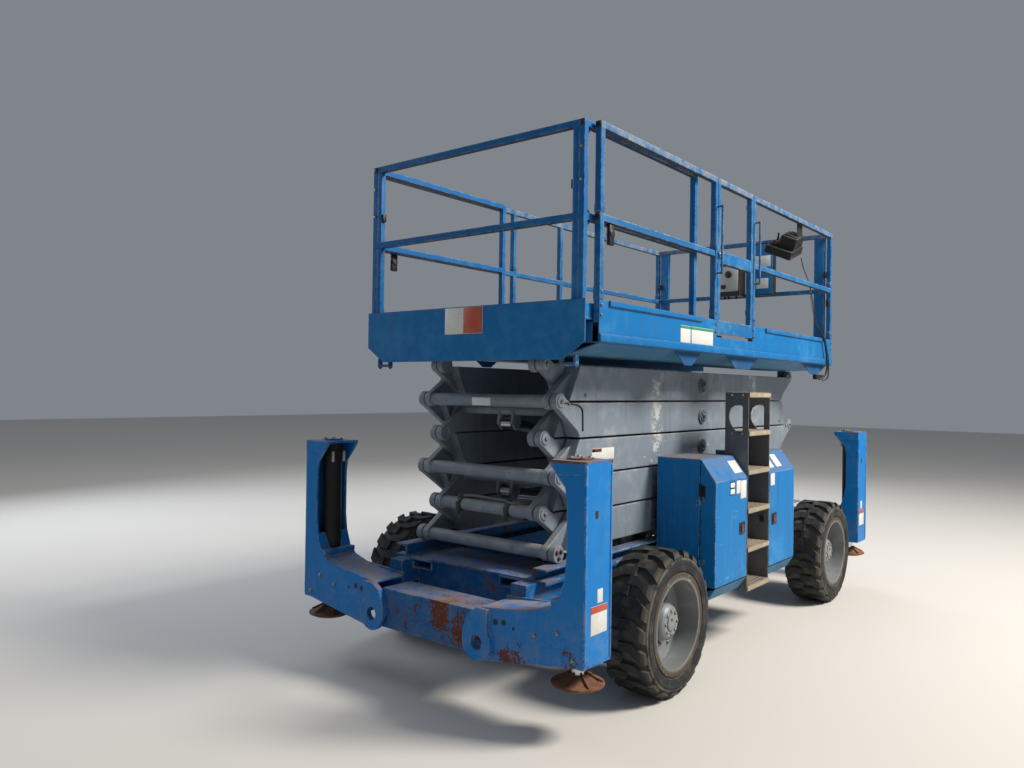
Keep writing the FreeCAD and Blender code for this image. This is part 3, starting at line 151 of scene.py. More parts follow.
@dataclass(frozen=True)
class Finish:
    """One real surface: its colours, gloss and how it has aged.

    Colours are hex codes as seen on a screen, and shares run from 0 to 1.
    """

    name: str
    base: str
    faded: str
    bare: str = "7D7468"
    dirt: str = "8B7D68"
    bleached: str = "9FB4B8"
    roughness: float = 0.5
    metallic: float = 0.0
    specular: float = 0.5
    mottling: float = 0.35
    edge_wear: float = 0.5
    dust: float = 0.5
    bleach: float = 0.0
    underside: float = 0.0
    rust: float = 0.25
    streaks: float = 0.3
    washes: float = 0.0
    scuffs: float = 0.3
    low_dirt: float = 0.0
    rust_reach: float = 0.0
    rust_from: float | None = None
    rubbed_at: tuple[float, ...] = ()
    peeled_at: tuple[tuple[float, float, float, float], ...] = ()
    handled_at: tuple[float, ...] = ()
    rim_dirt: float = 0.0
    bump: float = 0.12
    soft_edges: bool = True
    slot: str = "blue_paint"


class Palette(Enum):
    """Finishes of the real machine, each named for what it is and how it was made."""

    # Alkyd machine enamel sprayed on sheet steel, chalked by years of sun: an even mid blue with
    # soft lighter clouds, almost no gloss and a few scratches
    BLUE = Finish("sprayed_blue_enamel_on_steel_sheet", "0B69A7", "3C8CC2", specular=0.2, mottling=0.35,
                  edge_wear=0.6, dust=0.4, rust=0.35, streaks=0.35, washes=0.08, scuffs=0.5, low_dirt=0.15)
    # The same enamel on doors that are rained on: grime hangs in upright runs, and the bent edges
    # and tops have gone brown with trodden dirt
    CABINET_BLUE = Finish("rain_streaked_blue_enamel_on_doors", "0A70B2", "3F93CA", bare="A9B4B6",
                          dirt="7C6A55",
                          specular=0.2, mottling=0.45, edge_wear=0.85, dust=0.95, rust=0.5, streaks=0.6,
                          washes=0.35, scuffs=0.5)
    # The same enamel on welded plate that hits the ground: bright blue that has peeled to orange
    # rust along the top
    OUTRIGGER_BLUE = Finish("peeling_blue_enamel_on_welded_plate", "0874BE", "459CD4", bare="A9A69C",
                            dirt="9A8467",
                            specular=0.2, mottling=0.3, edge_wear=0.85, dust=0.7, rust=0.6, streaks=0.3,
                            washes=0.06, scuffs=0.6, low_dirt=0.3, rust_reach=0.03, rust_from=1.438,
                            peeled_at=((2.42, 0.68, 0.34, 0.06), (2.44, 1.06, 0.40, 0.01)))
    # Enamel on square rail tube, bleached on top by sun and hands, and darkened on the faces that look down
    RAIL_BLUE = Finish("sun_bleached_blue_enamel_on_square_tube", "0F5F98", "4887B2", bare="A9A69C",
                       dirt="8E8C80",
                       bleached="8DA7B2", roughness=0.55, specular=0.25, mottling=0.5, edge_wear=0.9, dust=0.35,
                       bleach=0.65, underside=0.85, rust=0.5, streaks=0.3, scuffs=0.8, handled_at=(3.281,))
    # The same tube on the sliding end, whose rails are less leaned on and keep their blue
    END_RAIL_BLUE = Finish("blue_enamel_on_square_tube", "0B5F9E", "3D84B4", bare="A9A69C", dirt="8E8C80",
                           roughness=0.55, specular=0.2, mottling=0.4, edge_wear=0.7, dust=0.35, bleach=0.5,
                           underside=0.85, rust=0.4, streaks=0.3, scuffs=0.5)
    # Enamel brushed over rolled frame steel, rubbed and rusty at every edge
    DEEP_BLUE = Finish("brushed_blue_enamel_on_frame_steel", "0D5C98", "2F86C2", bare="9DB2B4", dirt="8A755A",
                       roughness=0.6, specular=0.2, mottling=0.5, edge_wear=1.0, dust=0.55, rust=0.95,
                       streaks=0.5, scuffs=0.6, low_dirt=0.35, rust_reach=0.08,
                       peeled_at=((2.34, 0.14, 0.52, 0.08), (2.34, 0.27, 0.44, 0.09), (2.34, -0.17, 0.46,
                                                                                       0.02)))
    # Thin grey-blue primer sprayed on the deck's frame, dull and stained brown by what drips
    UNDER = Finish("grey_blue_primer_on_deck_frame", "3F7398", "6488A0", roughness=0.65, specular=0.2,
                   mottling=0.6, edge_wear=0.5, dust=0.3, rust=0.55, streaks=0.6, scuffs=0.3)
    # The machine's enamel on the brackets below the deck's lip, painted a deep, dull blue as painted shade of
    # the lip
    SHADED_BRACKET_BLUE = Finish("blue_enamel_darkened_as_painted_shade_below_deck", "17507F", "2A6894", roughness=0.65, specular=0.2,
                          mottling=0.5, edge_wear=0.5, dust=0.4, rust=0.5, streaks=0.5)
    # Light grey enamel on welded arm boxes: smooth, with dark grime in runs, and rubbed to white
    # where the arms' slide pads pass
    GREY = Finish("sprayed_light_grey_enamel_on_arm_boxes", "78838E", "9CA5AD", bare="D0D0C8", roughness=0.45,
                  specular=0.3, mottling=0.6, edge_wear=0.5, dust=0.35, rust=0.2, streaks=0.5, washes=0.15,
                  scuffs=0.5, rubbed_at=(0.70, -0.98), slot="grey_paint")
    # Dark grey enamel on folded ladder steel, scuffed by boots
    DARK_GREY = Finish("sprayed_dark_grey_enamel_on_ladder", "555A61", "6D7277", bare="8E8B84", roughness=0.6,
                       specular=0.3, mottling=0.5, edge_wear=0.8, dust=0.6, rust=0.35, streaks=0.3, scuffs=0.6,
                       low_dirt=0.3, slot="dark_grey_paint")
    # Punched tread steel with its paint walked off: pale clay on brown rust
    TREAD = Finish("punched_steel_worn_by_boots", "968B79", "B9AF9B", bare="6E4630", dirt="6B5A45",
                   roughness=0.75, mottling=0.8, edge_wear=0.5, dust=0.5, rust=0.8, streaks=0.1, scuffs=0.6,
                   low_dirt=0.2, bump=0.4, slot="dark_grey_paint")
    # Blue enamel on chequered floor plate, walked dull and dusty
    FLOOR = Finish("trodden_blue_enamel_on_floor_plate", "3E566A", "74828B", bare="8D8B85", dirt="8E8069",
                   roughness=0.65, specular=0.3, mottling=0.8, edge_wear=0.5, dust=0.8, rust=0.6, streaks=0.0,
                   scuffs=0.8, bump=0.2)
    # Black chassis enamel on steel, dulled by dry mud
    BLACK = Finish("sprayed_black_enamel_on_chassis", "17181A", "303132", bare="6B5648", roughness=0.6,
                   specular=0.3, mottling=0.5, edge_wear=0.5, dust=0.6, rust=0.5, streaks=0.2, scuffs=0.2,
                   low_dirt=0.5, slot="black_paint")
    # Cast steel pad left unpainted: rough, deep brown and orange all over
    RUST = Finish("cast_steel_left_to_rust", "5A3524", "94603F", bare="A5714E", dirt="A58D6D", roughness=0.85,
                  mottling=1.0, edge_wear=0.3, dust=0.15, rust=1.0, streaks=0.2, scuffs=0.3, low_dirt=0.1,
                  bump=0.5, slot="bare_steel")
    # Silver wheel enamel on pressed steel: a dull grey sheen, and brown brake and road dirt round
    # the lip
    RIM = Finish("sprayed_silver_enamel_on_pressed_rim", "878D90", "A6ABAD", bare="7B5B40", dirt="4E4438",
                 roughness=0.42, metallic=0.2, mottling=0.7, edge_wear=0.5, dust=0.3, rust=0.5, streaks=0.0,
                 scuffs=0.4, rim_dirt=1.0, slot="rim_silver")
    # Zinc-plated hexagon bolts: small bright metal going brown in places
    BOLT = Finish("zinc_plated_steel_bolts", "8D8F8E", "A9ABA8", bare="6F4A30", roughness=0.35, metallic=0.85,
                  mottling=0.6, edge_wear=0.2, dust=0.4, rust=0.7, streaks=0.0, scuffs=0.2, slot="rim_silver")
    # Hard chrome on a ground rod: a clean mirror
    CHROME = Finish("hard_chrome_on_ground_rod", "B9BCBE", "C9CBCC", roughness=0.12, metallic=1.0,
                    mottling=0.1,
                    edge_wear=0.0, dust=0.15, rust=0.0, streaks=0.0, scuffs=0.1, bump=0.02, slot="chrome_rod")
    # Moulded black plastic with a fine grain, greyed by sun
    PLASTIC = Finish("moulded_black_plastic", "161718", "2B2C2D", bare="4A4A4A", mottling=0.25, edge_wear=0.3,
                     dust=0.15, rust=0.0, streaks=0.0, scuffs=0.3, bump=0.25, slot="black_plastic")
    # Printed vinyl plate, left blank: flat white, a little yellow
    SIGN = Finish("blank_white_vinyl_plate", "D5D7D2", "EEEFEA", bare="A5A49D", roughness=0.4, mottling=0.35,
                  edge_wear=0.2, dust=0.2, rust=0.05, streaks=0.2, scuffs=0.3, bump=0.03, soft_edges=False)
    # Green vinyl band along a plate
    GREEN = Finish("green_vinyl_band", "2F8A5B", "58A67C", roughness=0.4, mottling=0.3, edge_wear=0.2,
                   dust=0.2,
                   rust=0.0, streaks=0.2, scuffs=0.3, bump=0.03, soft_edges=False)
    # Red glass-filled plastic of the door handles, chalked
    RED = Finish("chalked_red_plastic_handle", "7A2A26", "96453C", roughness=0.45, mottling=0.4,
                 edge_wear=0.2,
                 dust=0.3, rust=0.0, streaks=0.0, scuffs=0.3, bump=0.05, slot="black_plastic")
    # Orange-red vinyl half of a plate, faded
    ORANGE = Finish("faded_orange_vinyl_band", "B9452C", "D0694A", roughness=0.45, mottling=0.4,
                    edge_wear=0.2,
                    dust=0.3, rust=0.0, streaks=0.2, scuffs=0.3, bump=0.03, soft_edges=False)
    # Powder-coated light grey box lid
    BOX_GREY = Finish("powder_coated_light_grey_box", "A9ACAA", "C2C4C0", mottling=0.4, edge_wear=0.4,
                      dust=0.3,
                      rust=0.1, streaks=0.3, scuffs=0.3, slot="grey_paint")
    # Extruded grey rubber hose, matt and dusty
    HOSE = Finish("extruded_grey_rubber_hose", "5B5F60", "787B7A", roughness=0.7, mottling=0.5, edge_wear=0.0,
                  dust=0.5, rust=0.0, streaks=0.0, scuffs=0.3, bump=0.1, slot="black_plastic")


class NodeGraph:
    """The shader nodes of one material."""

    def __init__(self, name: str) -> None:
        """Start an empty node material.

        Args:
            name: Name of the material.
        """
        self.material = bpy.data.materials.new(name)
        self.material.use_nodes = True
        self.tree = self.material.node_tree
        self.tree.nodes.clear()

    def add(self, kind: str, inputs: dict | None = None, output: int | str = 0,
            **settings: object) -> bpy.types.NodeSocket:
        """Add one node with its settings and links.

        Args:
            kind: Node type without its ShaderNode prefix.
            inputs: Socket name or number to a constant or to another node's output.
            output: Name or number of the output to hand back.
            **settings: Attributes of the node.

        Returns:
            The chosen output, or None for a node without one.
        """
        node = self.tree.nodes.new("ShaderNode" + kind)
        for key, value in settings.items():
            setattr(node, key, value)
        for key, value in (inputs or {}).items():
            socket = node.inputs[key]
            if isinstance(value, bpy.types.NodeSocket):
                self.tree.links.new(value, socket)
            else:
                socket.default_value = value
        return node.outputs[output] if node.outputs else None


def from_axle(graph: NodeGraph, where: bpy.types.NodeSocket) -> bpy.types.NodeSocket:
    """Work out the distance from the nearest wheel's axle.

    Args:
        graph: The material's nodes.
        where: Object coordinates.

    Returns:
        The distance, in metres.
    """
    add = graph.add
    along = add("Math", {0: add("SeparateXYZ", {0: where}, "X")}, operation="ABSOLUTE")
    flat = add("CombineXYZ", {0: along, 2: add("SeparateXYZ", {0: where}, "Z")})
    hub = (SIZES.axle_half, 0.0, SIZES.hub_height)
    offset = add("VectorMath", {0: flat, 1: hub}, operation="SUBTRACT")
    return add("VectorMath", {0: offset}, "Value", operation="LENGTH")


class AgedSurface:
    """Paint or metal that has faded, run, chipped, rusted and gathered dust, layer on layer."""

    def __init__(self, finish: Finish) -> None:
        """Lay out the patterns that the layers share.

        Args:
            finish: The surface to make.
        """
        self.finish = finish
        self.graph = NodeGraph(finish.name)
        self.add = add = self.graph.add
        self.where = add("TexCoord", output="Object")
        self.normal = add("NewGeometry", output="Normal")
        self.facing = add("SeparateXYZ", {0: self.normal}, "Z")
        self.height = add("SeparateXYZ", {0: self.where}, "Z")
        self.cloud = add("TexNoise", {"Vector": self.where, "Scale": per_metre(MARKS.cloud), "Detail": 3.0})
        self.blotch = add("TexNoise", {"Vector": self.where, "Scale": per_metre(MARKS.blotch), "Detail": 6.0,
                                       "Roughness": 0.62})
        # Real chips are finer than this; drawn at 14 mm so that they still show from 6 m away
        self.grain = add("TexNoise", {"Vector": self.where, "Scale": per_metre(MARKS.grain), "Detail": 4.0})
        self.mixed = add("Mix", {0: 0.4, 2: self.blotch, 3: self.grain})
        self.ragged = add("MapRange", {"Value": self.mixed, "From Min": 0.44, "From Max": 0.56}, **SMOOTH)
        self.level = add("MapRange", {"Value": self.facing, "From Min": 0.35, "From Max": 0.95}, **SMOOTH)
        self.soft = add("Bevel", {"Radius": MARKS.chipped_edge / 1000}, samples=4)
        self.turn = add("VectorMath", {0: self.soft, 1: self.normal}, "Value", operation="DOT_PRODUCT")
        self.dirt = srgb_to_linear(finish.dirt)

    def _faded(self) -> bpy.types.NodeSocket:
        """Give the coat clouds that the sun has faded.

        Returns:
            The colour.
        """
        add, finish = self.add, self.finish
        sunned = add("Math", {0: self.cloud, 1: self.blotch}, **TIMES)
        fade = add("MapRange", {"Value": sunned, "From Min": 0.23, "From Max": 0.42,
                                "To Max": finish.mottling}, **SMOOTH)
        return add("Mix", {0: fade, 6: srgb_to_linear(finish.base), 7: srgb_to_linear(finish.faded)}, **OVER)

    def _streaked(self, colour: bpy.types.NodeSocket) -> bpy.types.NodeSocket:
        """Let pale washed lines and dark grime run down upright faces.

        Args:
            colour: Colour so far.

        Returns:
            The colour.
        """
        add, finish = self.add, self.finish
        across, along = per_metre(MARKS.run_width), per_metre(MARKS.run_length)
        drawn = add("Mapping", {"Vector": self.where, "Scale": (across, across, along)})
        runs = add("TexNoise", {"Vector": drawn, "Scale": 1.0, "Detail": 6.0, "Roughness": 0.7})
        steep = add("Math", {0: self.facing}, operation="ABSOLUTE")
        upright = add("MapRange", {"Value": steep, "From Min": 0.6, "From Max": 0.2}, **SMOOTH)
        pale = add("MapRange", {"Value": runs, "From Min": 0.42, "From Max": 0.22,
                                "To Max": finish.washes}, **SMOOTH)
        colour = add("Mix", {0: add("Math", {0: pale, 1: upright}, **TIMES), 6: colour,
                             7: srgb_to_linear(finish.bleached)}, **OVER)
        grime = add("MapRange", {"Value": runs, "From Min": 0.5, "From Max": 0.8,
                                 "To Max": finish.streaks}, **SMOOTH)
        dark = tuple(value * 0.28 for value in self.dirt[:3]) + (1.0,)
        return add("Mix", {0: add("Math", {0: grime, 1: upright}, **TIMES), 6: colour, 7: dark}, **OVER)

    def _bleached(self, colour: bpy.types.NodeSocket) -> bpy.types.NodeSocket:
        """Bleach the tops in patches, grey the rails that hands rub, and darken the faces that look down.

        Args:
            colour: Colour so far.

        Returns:
            The colour.
        """
        add, finish = self.add, self.finish
        if finish.bleach:
            share = add("MapRange", {"Value": self.blotch, "From Min": 0.25, "From Max": 0.62,
                                     "To Max": finish.bleach}, **SMOOTH)
            colour = add("Mix", {0: add("Math", {0: share, 1: self.level}, **TIMES), 6: colour,
                                 7: srgb_to_linear(finish.bleached)}, **OVER)
        for rail in finish.handled_at:
            offset = add("Math", {0: self.height, 1: rail}, operation="SUBTRACT")
            on_rail = add("MapRange", {"Value": add("Math", {0: offset}, operation="ABSOLUTE"),
                                       "From Min": 0.022, "From Max": 0.018}, **SMOOTH)
            share = add("MapRange", {"Value": self.blotch, "From Min": 0.3, "From Max": 0.7,
                                     "To Max": finish.bleach}, **SMOOTH)
            colour = add("Mix", {0: add("Math", {0: share, 1: on_rail}, **TIMES), 6: colour,
                                 7: self.dirt}, **OVER)
        # Faces that look down are darkened towards a near black
        if finish.underside:
            below = add("MapRange", {"Value": self.facing, "From Min": -0.5, "From Max": -0.9,
                                     "To Max": finish.underside}, **SMOOTH)
            colour = add("Mix", {0: below, 6: colour, 7: srgb_to_linear("2B2724")}, **OVER)
        return colour

    def _chipped(self, colour: bpy.types.NodeSocket) -> bpy.types.NodeSocket:
        """Chip the edges, scratch the faces and rub bare what something slides on.

        Args:
            colour: Colour so far.

        Returns:
            The colour.
        """
        add, finish = self.add, self.finish
        length, width = per_metre(MARKS.scratch_length), per_metre(MARKS.scratch_height)
        sideways = add("Mapping", {"Vector": self.where, "Scale": (length, width, width)})
        scratches = add("TexNoise", {"Vector": sideways, "Scale": 1.0, "Detail": 3.0, "Roughness": 0.7})
        edge = add("MapRange", {"Value": self.turn, "From Min": 0.992, "From Max": 0.9,
                                "To Max": finish.edge_wear}, **SMOOTH)
        worn = add("Math", {0: edge, 1: self.ragged}, **TIMES)
        lines = add("MapRange", {"Value": scratches, "From Min": 0.66, "From Max": 0.72,
                                 "To Max": finish.scuffs}, **SMOOTH)
        some = add("MapRange", {"Value": self.blotch, "From Min": 0.5, "From Max": 0.66}, **SMOOTH)
        worn = add("Math", {0: worn, 1: add("Math", {0: lines, 1: some}, **TIMES)}, **PLUS)
        for place in finish.rubbed_at:
            offset = add("Math", {0: add("SeparateXYZ", {0: self.where}, "X"), 1: place},
                         operation="SUBTRACT")
            near = add("MapRange", {"Value": add("Math", {0: offset}, operation="ABSOLUTE"),
                                    "From Min": 0.11, "From Max": 0.03}, **SMOOTH)
            touched = add("MapRange", {"Value": self.mixed, "From Min": 0.49, "From Max": 0.57,
                                       "To Max": 0.7}, **SMOOTH)
            worn = add("Math", {0: worn, 1: add("Math", {0: near, 1: touched}, **TIMES)}, **PLUS)
        return add("Mix", {0: worn, 6: colour, 7: srgb_to_linear(finish.bare)}, **OVER)

    def _rust_share(self) -> bpy.types.NodeSocket:
        """Spread rust in spots, beside worn edges, along a peeled top and where paint came off.

        Returns:
            How much rust there is, from 0 to 1.
        """
        add, finish = self.add, self.finish
        spots = add("MapRange", {"Value": self.mixed, "From Min": 0.6 - finish.rust_reach,
                                 "From Max": 0.65 - finish.rust_reach, "To Max": finish.rust}, **SMOOTH)
        damp = add("MapRange", {"Value": self.cloud, "From Min": 0.48, "From Max": 0.66}, **SMOOTH)
        beside = add("MapRange", {"Value": self.turn, "From Min": 0.999, "From Max": 0.94,
                                  "To Max": finish.rust}, **SMOOTH)
        beside = add("Math", {0: beside, 1: self.ragged}, **TIMES)
        rusting = add("Math", {0: add("Math", {0: spots, 1: beside}, **LARGER), 1: damp}, **TIMES)
        if finish.rust_from is not None:
            wave = add("Math", {0: self.mixed, 1: 0.16, 2: -0.08}, operation="MULTIPLY_ADD")
            line = add("Math", {0: self.height, 1: wave}, operation="ADD")
            peeled = add("MapRange", {"Value": line, "From Min": finish.rust_from - 0.004,
                                      "From Max": finish.rust_from + 0.006, "To Max": 0.9}, **SMOOTH)
            on_left = add("MapRange", {"Value": add("SeparateXYZ", {0: self.where}, "Y"),
                                       "From Min": 0.0, "From Max": 0.1}, **SMOOTH)
            top = add("Math", {0: peeled, 1: on_left}, **TIMES)
            rusting = add("Math", {0: rusting, 1: top}, **LARGER)
        for x, y, z, radius in finish.peeled_at:
            offset = add("VectorMath", {0: self.where, 1: (x, y, z)}, operation="SUBTRACT")
            reach = add("VectorMath", {0: offset}, "Value", operation="LENGTH")
            uneven = add("Math", {0: self.mixed, 1: 0.9, 2: reach}, operation="MULTIPLY_ADD")
            patch = add("MapRange", {"Value": uneven, "From Min": radius + 0.47, "From Max": radius + 0.45,
                                     "To Max": 0.95}, **SMOOTH)
            rusting = add("Math", {0: rusting, 1: patch}, **LARGER)
        return rusting

    def _dirt_share(self) -> bpy.types.NodeSocket:
        """Lay dust in patches on what faces up, mud near the ground and road dirt round a rim's lip.

        Returns:
            How much dirt there is, from 0 to 1.
        """
        add, finish = self.add, self.finish
        lying = add("MapRange", {"Value": self.mixed, "From Min": 0.39, "From Max": 0.52,
                                 "To Max": finish.dust}, **SMOOTH)
        dirty = add("Math", {0: lying, 1: self.level}, **TIMES)
        if finish.low_dirt:
            low = add("MapRange", {"Value": self.height, "From Min": 0.9, "From Max": 0.25,
                                   "To Max": finish.low_dirt}, **SMOOTH)
            splashed = add("MapRange", {"Value": self.mixed, "From Min": 0.4, "From Max": 0.66}, **SMOOTH)
            dirty = add("Math", {0: dirty, 1: add("Math", {0: low, 1: splashed}, **TIMES)}, **LARGER)
        if finish.rim_dirt:
            lip = add("MapRange", {"Value": from_axle(self.graph, self.where), "From Min": 0.245,
                                   "From Max": 0.285, "To Max": finish.rim_dirt}, **SMOOTH)
            caked = add("MapRange", {"Value": self.mixed, "From Min": 0.3, "From Max": 0.46}, **SMOOTH)
            dirty = add("Math", {0: dirty, 1: add("Math", {0: lip, 1: caked}, **TIMES)}, **LARGER)
        return dirty

    def material(self) -> bpy.types.Material:
        """Lay the coats over each other and add gloss and relief.

        Returns:
            The material.
        """
        add, finish = self.add, self.finish
        colour = self._chipped(self._bleached(self._streaked(self._faded())))
        rusting = self._rust_share()
        rust = add("Mix", {0: self.grain, 6: srgb_to_linear("44200F"), 7: srgb_to_linear("82482B")}, **OVER)
        colour = add("Mix", {0: rusting, 6: colour, 7: rust}, **OVER)
        dirty = self._dirt_share()
        colour = add("Mix", {0: dirty, 6: colour, 7: self.dirt}, **OVER)
        coarse = add("Math", {0: dirty, 1: rusting}, **LARGER)
        gloss = add("Math", {0: self.blotch, 1: 0.16, 2: finish.roughness - 0.08}, **SCALED)
        gloss = add("Math", {0: coarse, 1: 0.4, 2: gloss}, **SCALED)
        pitted = add("Math", {0: self.grain, 1: 0.5}, **TIMES)
        relief = add("Math", {0: rusting, 1: 0.8, 2: pitted}, operation="MULTIPLY_ADD")
        surface = {"Height": relief, "Strength": finish.bump, "Distance": MARKS.pitting / 1000}
        if finish.soft_edges:
            surface["Normal"] = self.soft
        bump = add("Bump", surface)
        shader = add("BsdfPrincipled", {"Base Color": colour, "Roughness": gloss, "Metallic": finish.metallic,
                                        "Specular IOR Level": finish.specular, "Normal": bump})
        add("OutputMaterial", {"Surface": shader})
        return self.graph.material


@dataclass(frozen=True)
class TyreRubber:
    """Moulded tyre rubber, matt black with rings on its wall and dry clay where it flexes.

    Marks are in millimetres. Bands are radii from the axle in metres, each a start and an end.
    """

    name: str = "moulded_tyre_rubber"
    dark: str = "15171A"
    light: str = "2F3338"
    clay: str = "6E685B"
    blotch: float = 70.0
    grain: float = 11.0
    bead: tuple[float, float] = (0.318, 0.306)
    wall_start: tuple[float, float] = (0.318, 0.325)
    wall_end: tuple[float, float] = (0.378, 0.37)
    shoulder_start: tuple[float, float] = (0.37, 0.377)
    shoulder_end: tuple[float, float] = (0.39, 0.383)
    tread: tuple[float, float] = (0.388, 0.398)
    groove: tuple[float, float] = (0.427, 0.405)

    def material(self) -> bpy.types.Material:
        """Mix the rubber, its clay and its rings.

        Returns:
            The material.
        """
        graph = NodeGraph(self.name)
        add = graph.add
        where = add("TexCoord", output="Object")
        radius = from_axle(graph, where)
        blotch = add("TexNoise", {"Vector": where, "Scale": per_metre(self.blotch), "Detail": 6.0,
                                  "Roughness": 0.62})
        grain = add("TexNoise", {"Vector": where, "Scale": per_metre(self.grain), "Detail": 3.0})
        bands = {}
        for band, most in (("bead", 1.0), ("wall_start", 1.0), ("wall_end", 0.6), ("shoulder_start", 1.0),
                           ("shoulder_end", 1.0), ("tread", 1.0), ("groove", 0.4)):
            start, end = getattr(self, band)
            bands[band] = add("MapRange", {"Value": radius, "From Min": start, "From Max": end,
                                           "To Max": most}, **SMOOTH)
        on_wall = add("Math", {0: bands["wall_start"], 1: bands["wall_end"]}, **TIMES)
        in_groove = add("Math", {0: bands["groove"], 1: bands["tread"]}, **TIMES)
        flexing = add("Math", {0: bands["shoulder_start"], 1: bands["shoulder_end"]}, **TIMES)
        creases = add("Math", {0: flexing, 1: bands["bead"]}, **LARGER)

        # Clay on the wall, in the grooves and in the creases
        wall_dust = add("MapRange", {"Value": blotch, "From Min": 0.42, "From Max": 0.7, "To Max": 0.3},
                        **SMOOTH)
        dust = add("Math", {0: wall_dust, 1: in_groove}, **LARGER)
        broken = add("MapRange", {"Value": blotch, "From Min": 0.35, "From Max": 0.55, "To Max": 0.75},
                     **SMOOTH)
        dust = add("Math", {0: dust, 1: add("Math", {0: creases, 1: broken}, **TIMES)}, **LARGER)
        rubber = add("Mix", {0: grain, 6: srgb_to_linear(self.dark), 7: srgb_to_linear(self.light)}, **OVER)
        colour = add("Mix", {0: dust, 6: rubber, 7: srgb_to_linear(self.clay)}, **OVER)

        # Moulded rings and a fine grain
        wave = add("Math", {0: radius, 1: math.tau * per_metre(MARKS.moulded_ring)}, operation="MULTIPLY")
        rings = add("Math", {0: wave}, operation="SINE")
        fine = add("Math", {0: grain, 1: 0.3}, **TIMES)
        relief = add("Math", {0: rings, 1: on_wall, 2: fine}, operation="MULTIPLY_ADD")
        bump = add("Bump", {"Height": relief, "Strength": 0.5, "Distance": 0.003})
        gloss = add("MapRange", {"Value": blotch, "From Min": 0.2, "From Max": 0.6, "To Min": 0.75,
                                 "To Max": 0.95}, **SMOOTH)
        shader = add("BsdfPrincipled", {"Base Color": colour, "Roughness": gloss, "Specular IOR Level": 0.3,
                                        "Normal": bump})
        add("OutputMaterial", {"Surface": shader})
        return graph.material


class PaintShop:
    """Makes each material once and hands it out again."""

    def __init__(self) -> None:
        """Start with no materials."""
        self._made: dict[str, bpy.types.Material] = {}

    def get(self, choice: Palette) -> bpy.types.Material:
        """Hand out the material of a finish.

        Args:
            choice: Which finish.

        Returns:
            Its material.
        """
        finish = choice.value
        if finish.name not in self._made:
            self._made[finish.name] = AgedSurface(finish).material()
        return self._made[finish.name]

    def tyre(self) -> bpy.types.Material:
        """Hand out the tyres' rubber.

        Returns:
            The material.
        """
        rubber = TyreRubber()
        if rubber.name not in self._made:
            self._made[rubber.name] = rubber.material()
        return self._made[rubber.name]


PAINTS = PaintShop()


# Mesh building
BAND = (0.001, 0.0022)


@dataclass(frozen=True)
class Flat:
    """Where a blank plate lies on an outer face: its ends along X, its bottom and its top."""

    start: float
    end: float
    bottom: float
    top: float


def span(side: int, near: float, far: float) -> tuple[float, float]:
    """Put a stretch that counts outward into the frame's order.

    Args:
        side: 1 or -1, the side of the machine.
        near: Its start, outward from the middle.
        far: Its end.

    Returns:
        The lower and the higher coordinate.
    """
    return min(side * near, side * far), max(side * near, side * far)


